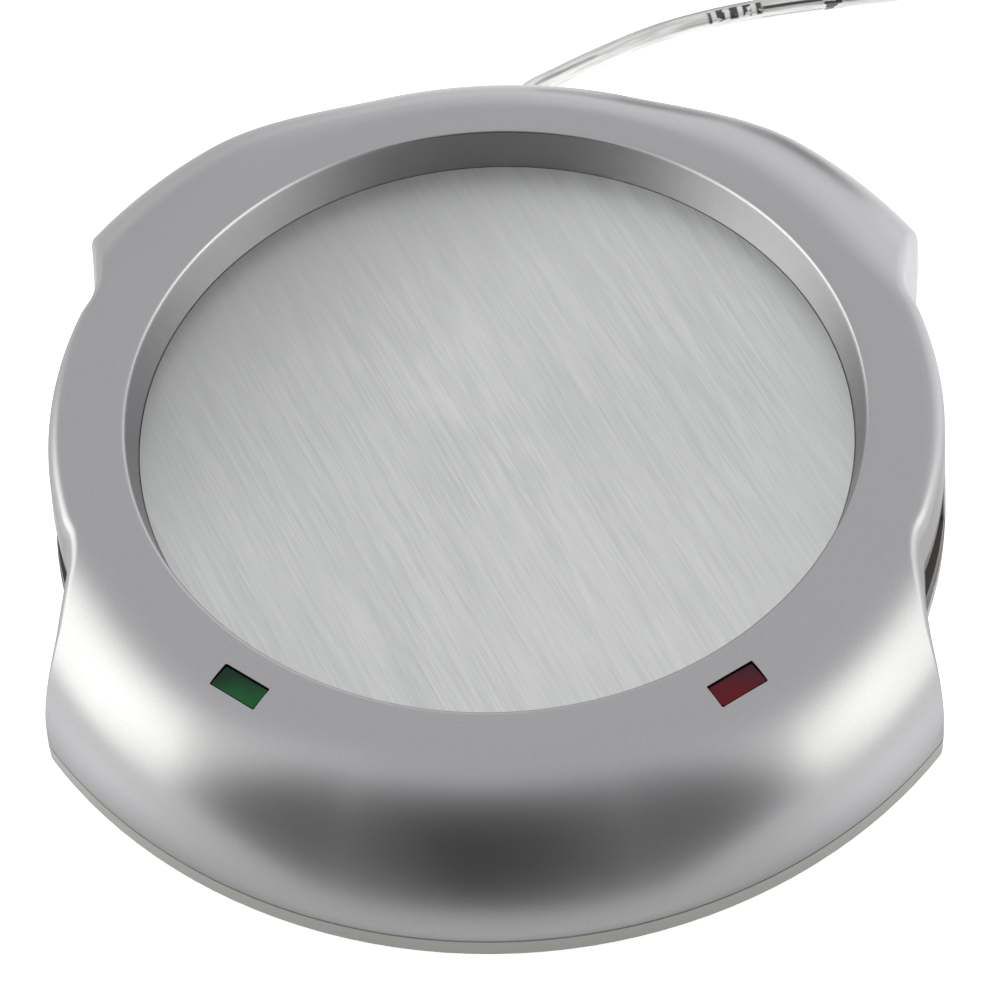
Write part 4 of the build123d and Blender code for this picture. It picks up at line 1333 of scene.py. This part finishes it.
def tube_along(name, line, radius, sides, material):
    """A tube round a line, closed at both ends, with a UV map: round, and in metres."""
    form = bmesh.new()
    uv = form.loops.layers.uv.new("along")
    rings = tube_rings(form, line, radius, sides)
    runs = [0.0]
    for a, b in zip(line, line[1:]):
        runs.append(runs[-1] + (b - a).length)
    for index, (here, there) in enumerate(zip(rings, rings[1:])):
        for step in range(sides):
            after = (step + 1) % sides
            face = form.faces.new((here[step], here[after], there[after], there[step]))
            rounds = (step / sides, (step + 1) / sides, (step + 1) / sides, step / sides)
            lengths = (runs[index], runs[index], runs[index + 1], runs[index + 1])
            for loop, across, along in zip(face.loops, rounds, lengths):
                loop[uv].uv = (across, along)
    form.faces.new(rings[0])
    form.faces.new(rings[-1])
    bmesh.ops.recalc_face_normals(form, faces=form.faces)
    mesh = bpy.data.meshes.new(name)
    form.to_mesh(mesh)
    form.free()
    mesh.materials.append(material)
    piece = bpy.data.objects.new(name, mesh)
    bpy.context.scene.collection.objects.link(piece)
    shade_smooth(piece, TUBE_SHARP_TURN)
    return piece


# %% [markdown]
# The jacket is clear, and under it lies a silver braid that opens now and then on dark
# wires.  Modelled strands would be too fine to see, so one material draws them on the UV
# map: noise laid at a slant for the braid, and smooth windows, 1 inside and 0 outside,
# for the wires.  Where it opens, the wires show first as a faint line, then as a row of
# blocks and as long lines, and last as one dark stretch.  Distances along the cord are in
# metres, and places round it are shares of a turn.

# %% Dark wires under the jacket
BITES_ROUND, BITES_ALONG = 9.0, 620.0
WIRES_EVERY = 0.240
FIRST_FROM, FIRST_TO = 0.010, 0.024
BLOCKS_FROM, BLOCKS_TO = 0.043, 0.0515
LINES_TO, LAST_TO = 0.061, 0.078
SPARKLE_TO = LINES_TO + 0.003
BLOCK_PITCH = 0.0021
FIRST_SIDES = (0.455, 0.500)
BLOCK_SIDES = (0.41, 0.61)
MAIN_LINE_SIDES = (0.495, 0.545)
THIN_LINE_SIDES = (0.675, 0.700)
LAST_SIDES = (0.40, 0.60)


def window(tree, value, low, high, edge):
    """1 between two values and 0 outside them, with soft edges."""
    rise = ramp(tree, value, low - edge, low + edge)
    return times(tree, rise, ramp(tree, value, high - edge, high + edge, 1.0, 0.0))


def laid_out(tree, side, along, per_turn, per_metre):
    """A vector round and along the cord, for a noise with so many spots to each."""
    made = add_node(tree, "ShaderNodeCombineXYZ")
    tree.links.new(times(tree, side, per_turn), made.inputs["X"])
    tree.links.new(times(tree, along, per_metre), made.inputs["Y"])
    return made.outputs["Vector"]


def dark_wires(tree, side, along):
    """How much of the dark wires shows at a place round and along the cord."""
    spot = times(tree, repeated(tree, along, WIRES_EVERY), WIRES_EVERY)
    bites = noise(tree, laid_out(tree, side, along, BITES_ROUND, BITES_ALONG), 1.0, 1.0)
    blocks = times(tree, window(tree, spot, BLOCKS_FROM, BLOCKS_TO, 0.0003),
                   window(tree, side, *BLOCK_SIDES, 0.015))
    blocks = times(tree, blocks, window(tree, repeated(tree, along, BLOCK_PITCH), 0.10, 0.72, 0.08))
    blocks = times(tree, blocks, ramp(tree, bites, 0.38, 0.46))
    lines = plus(tree, window(tree, side, *MAIN_LINE_SIDES, 0.010),
                 times(tree, window(tree, side, *THIN_LINE_SIDES, 0.008), 0.6))
    lines = times(tree, lines, window(tree, spot, BLOCKS_TO, LINES_TO, 0.0003))
    first = times(tree, window(tree, side, *FIRST_SIDES, 0.012),
                  window(tree, spot, FIRST_FROM, FIRST_TO, 0.001))
    lines = plus(tree, lines, times(tree, first, 0.5))
    sparkle = times(tree, window(tree, spot, LINES_TO, SPARKLE_TO, 0.0002),
                    ramp(tree, bites, 0.50, 0.54))
    last = times(tree, window(tree, spot, SPARKLE_TO, LAST_TO, 0.0010),
                 window(tree, side, *LAST_SIDES, 0.05))
    wires = math_node(tree, "MAXIMUM", blocks, lines)
    wires = math_node(tree, "MAXIMUM", wires, math_node(tree, "MAXIMUM", last, sparkle))
    return math_node(tree, "MINIMUM", wires, 1.0)


# %% Cord jacket
FACING_SIDE = 0.11
# Painted shade and light on the braid: one side of the cord dark grey, the rest pale.
BRAID_SHADED, BRAID_LIT = (0.40, 0.385, 0.38), (0.84, 0.84, 0.845)
STRAND_SHADE = (0.34, 0.33, 0.33)
WIRE_DARK = (0.050, 0.036, 0.034)
BRAID_SLANT = 3.0
STRANDS_ROUND, STRANDS_ALONG = 22.0, 160.0


def clear_jacket():
    """Clear jacket over a silver braid, which opens now and then on dark wires; one side of the braid has
    painted shade.
    """
    material, tree, shader, where = start_material("cord_jacket", "UV", Coat_Weight=1.0, Metallic=0.30)
    shader.inputs["Coat Roughness"].default_value = 0.05
    place = split_xyz(tree, where)
    along = place["Y"]
    side = math_node(tree, "FRACT", plus(tree, place["X"], 0.5 - FACING_SIDE))
    turned = plus(tree, side, times(tree, along, BRAID_SLANT))
    strands = noise(tree, laid_out(tree, turned, along, STRANDS_ROUND, STRANDS_ALONG), 1.0, 3.0)
    # Painted shade: one fixed side of the cord, set by FACING_SIDE, is painted darker than the other.
    braid = mix_colour(tree, ramp(tree, side, 0.30, 0.46), rgb(*BRAID_SHADED), rgb(*BRAID_LIT))
    braid = mix_colour(tree, ramp(tree, strands, 0.36, 0.60, 0.40, 0.0), braid, rgb(*STRAND_SHADE))
    colour = mix_colour(tree, dark_wires(tree, side, along), braid, rgb(*WIRE_DARK))
    tree.links.new(colour, shader.inputs["Base Color"])
    tree.links.new(spread(tree, strands, 0.30, 0.48), shader.inputs["Roughness"])
    add_bump(tree, shader, strands, 0.20, 0.06 * MM)
    return material


cord = tube_along("cord", cord_line, CORD_DIAMETER / 2 * MM, TUBE_SIDES, clear_jacket())
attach(cord, HOUSING)
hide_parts("usb_cord", "cord_coil", "cord_tail")
print("cord: faces:", len(cord.data.polygons))

# %% [markdown]
# The plug's contacts are the same strips again, placed along the plug's own direction,
# which is that of the cord's last run.  With them the cord is complete.  The first 6.4 mm
# of its line lie inside the gland.

# %% Plug contacts
PLUG_CONTACT = (8.0, 1.1, 0.16)
PLUG_CONTACT_X, PLUG_CONTACT_Z = 30.5, 0.06


def plug_place():
    """The plug's own frame: X along it, from the cord's end."""
    (before_x, before_y, _), (end_x, end_y, end_z) = TAIL_ROUTE[-2:]
    turn = math.atan2(end_y - before_y, end_x - before_x)
    return at(end_x, end_y, end_z) @ Matrix.Rotation(turn, 4, "Z")


contacts_at = plug_place() @ at(PLUG_CONTACT_X, 0, PLUG_CONTACT_Z)
plug_contacts = strip_row("plug_contacts", CONTACTS, CONTACT_PITCH, PLUG_CONTACT, GOLD, [contacts_at])
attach(plug_contacts, HOUSING)

# %% [markdown]
# The floor is a wide matt sheet that takes the object's shadow.  Part of what the camera
# sees of it is its own light, so that it reads as white paper.  Metal mirrors the floor
# as well, and a real studio floor is not lit evenly.  So what a mirror sees of it is
# darkest in front, brighter at the sides, brightest behind on the right, and stronger
# close to the object.  All of that is set by where a point of the floor lies.

# %% Floor
FLOOR_SIZE = 6.0
FLOOR_WHITE = 0.80
OWN_LIGHT = 0.85
FRONT_TO, SIDES_FROM = -0.93, -0.55
FRONT_LIT, SIDES_LIT = 0.05, 0.52
REAR_RIGHT = (0.5, 0.866, 0.0)
REAR_FROM, REAR_TO, REAR_LIT = 0.5, 0.95, 0.65
NEAR, FAR = 0.086, 0.125
NEAR_SHARE, FAR_SHARE = 1.25, 0.70


def mirrored_light(tree, where):
    """How bright a mirror sees the floor, by direction and distance from its middle."""
    level = add_node(tree, "ShaderNodeVectorMath", operation="NORMALIZE")
    tree.links.new(where, level.inputs[0])
    direction = level.outputs["Vector"]
    forward = split_xyz(tree, direction)["Y"]
    lit = ramp(tree, forward, FRONT_TO, SIDES_FROM, FRONT_LIT, SIDES_LIT)
    rear_right = towards(tree, direction, REAR_RIGHT)
    lit = plus(tree, lit, ramp(tree, rear_right, REAR_FROM, REAR_TO, 0.0, REAR_LIT))
    reach = add_node(tree, "ShaderNodeVectorMath", operation="LENGTH")
    tree.links.new(where, reach.inputs[0])
    return times(tree, lit, ramp(tree, reach.outputs["Value"], NEAR, FAR, NEAR_SHARE, FAR_SHARE))


def add_floor():
    """A matt white floor whose brightness in reflections depends on where it is."""
    material, tree, shader, where = start_material("floor", Roughness=0.9)
    shader.inputs["Base Color"].default_value = rgb(FLOOR_WHITE, FLOOR_WHITE, FLOOR_WHITE)
    shader.inputs["Specular IOR Level"].default_value = 0.1
    shader.inputs["Emission Color"].default_value = rgb(1, 1, 1)
    paths = add_node(tree, "ShaderNodeLightPath").outputs
    seen = math_node(tree, "MAXIMUM", paths["Is Camera Ray"], paths["Is Transmission Ray"])
    mirrored = times(tree, paths["Is Glossy Ray"], mirrored_light(tree, where))
    tree.links.new(plus(tree, times(tree, seen, OWN_LIGHT), mirrored), shader.inputs["Emission Strength"])
    half = FLOOR_SIZE / 2
    corners = [(-half, -half, 0), (half, -half, 0), (half, half, 0), (-half, half, 0)]
    made = new_piece("floor", corners, [(0, 1, 2, 3)], material)
    print("floor: metres across:", FLOOR_SIZE)


add_floor()

# %% [markdown]
# Satin silver shows the room more than its own colour.  The room here is a pale sky, a
# little brighter low down behind.  Two soft dark patches in front overlap and draw the
# dark band across the front of the cover.  Wide soft glows low down at the left and
# right, each with a smaller one above it, act as lit paper screens and light the four
# lobes, and their light is slightly warm.  Each patch is a smooth step of the angle
# between a direction and the patch's centre.  The camera itself sees plain white.

# %% Room
ROOM_PALE = 0.705
# Each patch: the turn and rise of its centre, the angles from there at which it starts
# to fade and has gone, all in degrees, and how strong it is.
BEHIND = (60, -2, 10, 56, 0.5)
DARK_PATCHES = ((-105, 20, 10, 39, 0.80), (-79, 20, 10, 39, 0.80))
LEFT_SCREEN, ABOVE_LEFT = (178, 15, 4, 44, 1.55), (-158, 38, 4, 30, 0.4)
RIGHT_SCREEN, ABOVE_RIGHT = (-5, 16, 4, 38, 1.3), (-24, 36, 4, 28, 0.35)
SCREEN_WARMTH = (0.985, 1.0, 0.935)
WARM_AT = 0.8


def patch(tree, where, turn, rise, inner, outer, strength):
    """A soft round patch of the sky: full near its centre, and 0 beyond its edge."""
    turn, rise, inner, outer = (math.radians(value) for value in (turn, rise, inner, outer))
    level = math.cos(rise)
    centre = (level * math.cos(turn), level * math.sin(turn), math.sin(rise))
    share = ramp(tree, towards(tree, where, centre), math.cos(outer), math.cos(inner))
    return times(tree, share, strength)


def add_room():
    """The world's light: a pale sky, dark patches in front and a glow on each side."""
    world = bpy.data.worlds.new("room")
    bpy.context.scene.world = world
    world.use_nodes = True
    tree = world.node_tree
    where = add_node(tree, "ShaderNodeTexCoord").outputs["Generated"]
    light = plus(tree, patch(tree, where, *BEHIND), ROOM_PALE)
    for spot in DARK_PATCHES:
        light = times(tree, light, minus(tree, 1.0, patch(tree, where, *spot)))
    left = plus(tree, patch(tree, where, *LEFT_SCREEN), patch(tree, where, *ABOVE_LEFT))
    right = plus(tree, patch(tree, where, *RIGHT_SCREEN), patch(tree, where, *ABOVE_RIGHT))
    glow = plus(tree, left, right)
    seen = add_node(tree, "ShaderNodeLightPath").outputs["Is Camera Ray"]
    unseen = minus(tree, 1.0, seen)
    warm = times(tree, ramp(tree, glow, 0.0, WARM_AT), unseen)
    background = tree.nodes["Background"]
    tree.links.new(mix_colour(tree, warm, rgb(1, 1, 1), rgb(*SCREEN_WARMTH)), background.inputs["Color"])
    strength = plus(tree, times(tree, plus(tree, light, glow), unseen), seen)
    tree.links.new(strength, background.inputs["Strength"])
    print("room: nodes in its light:", len(tree.nodes))


add_room()
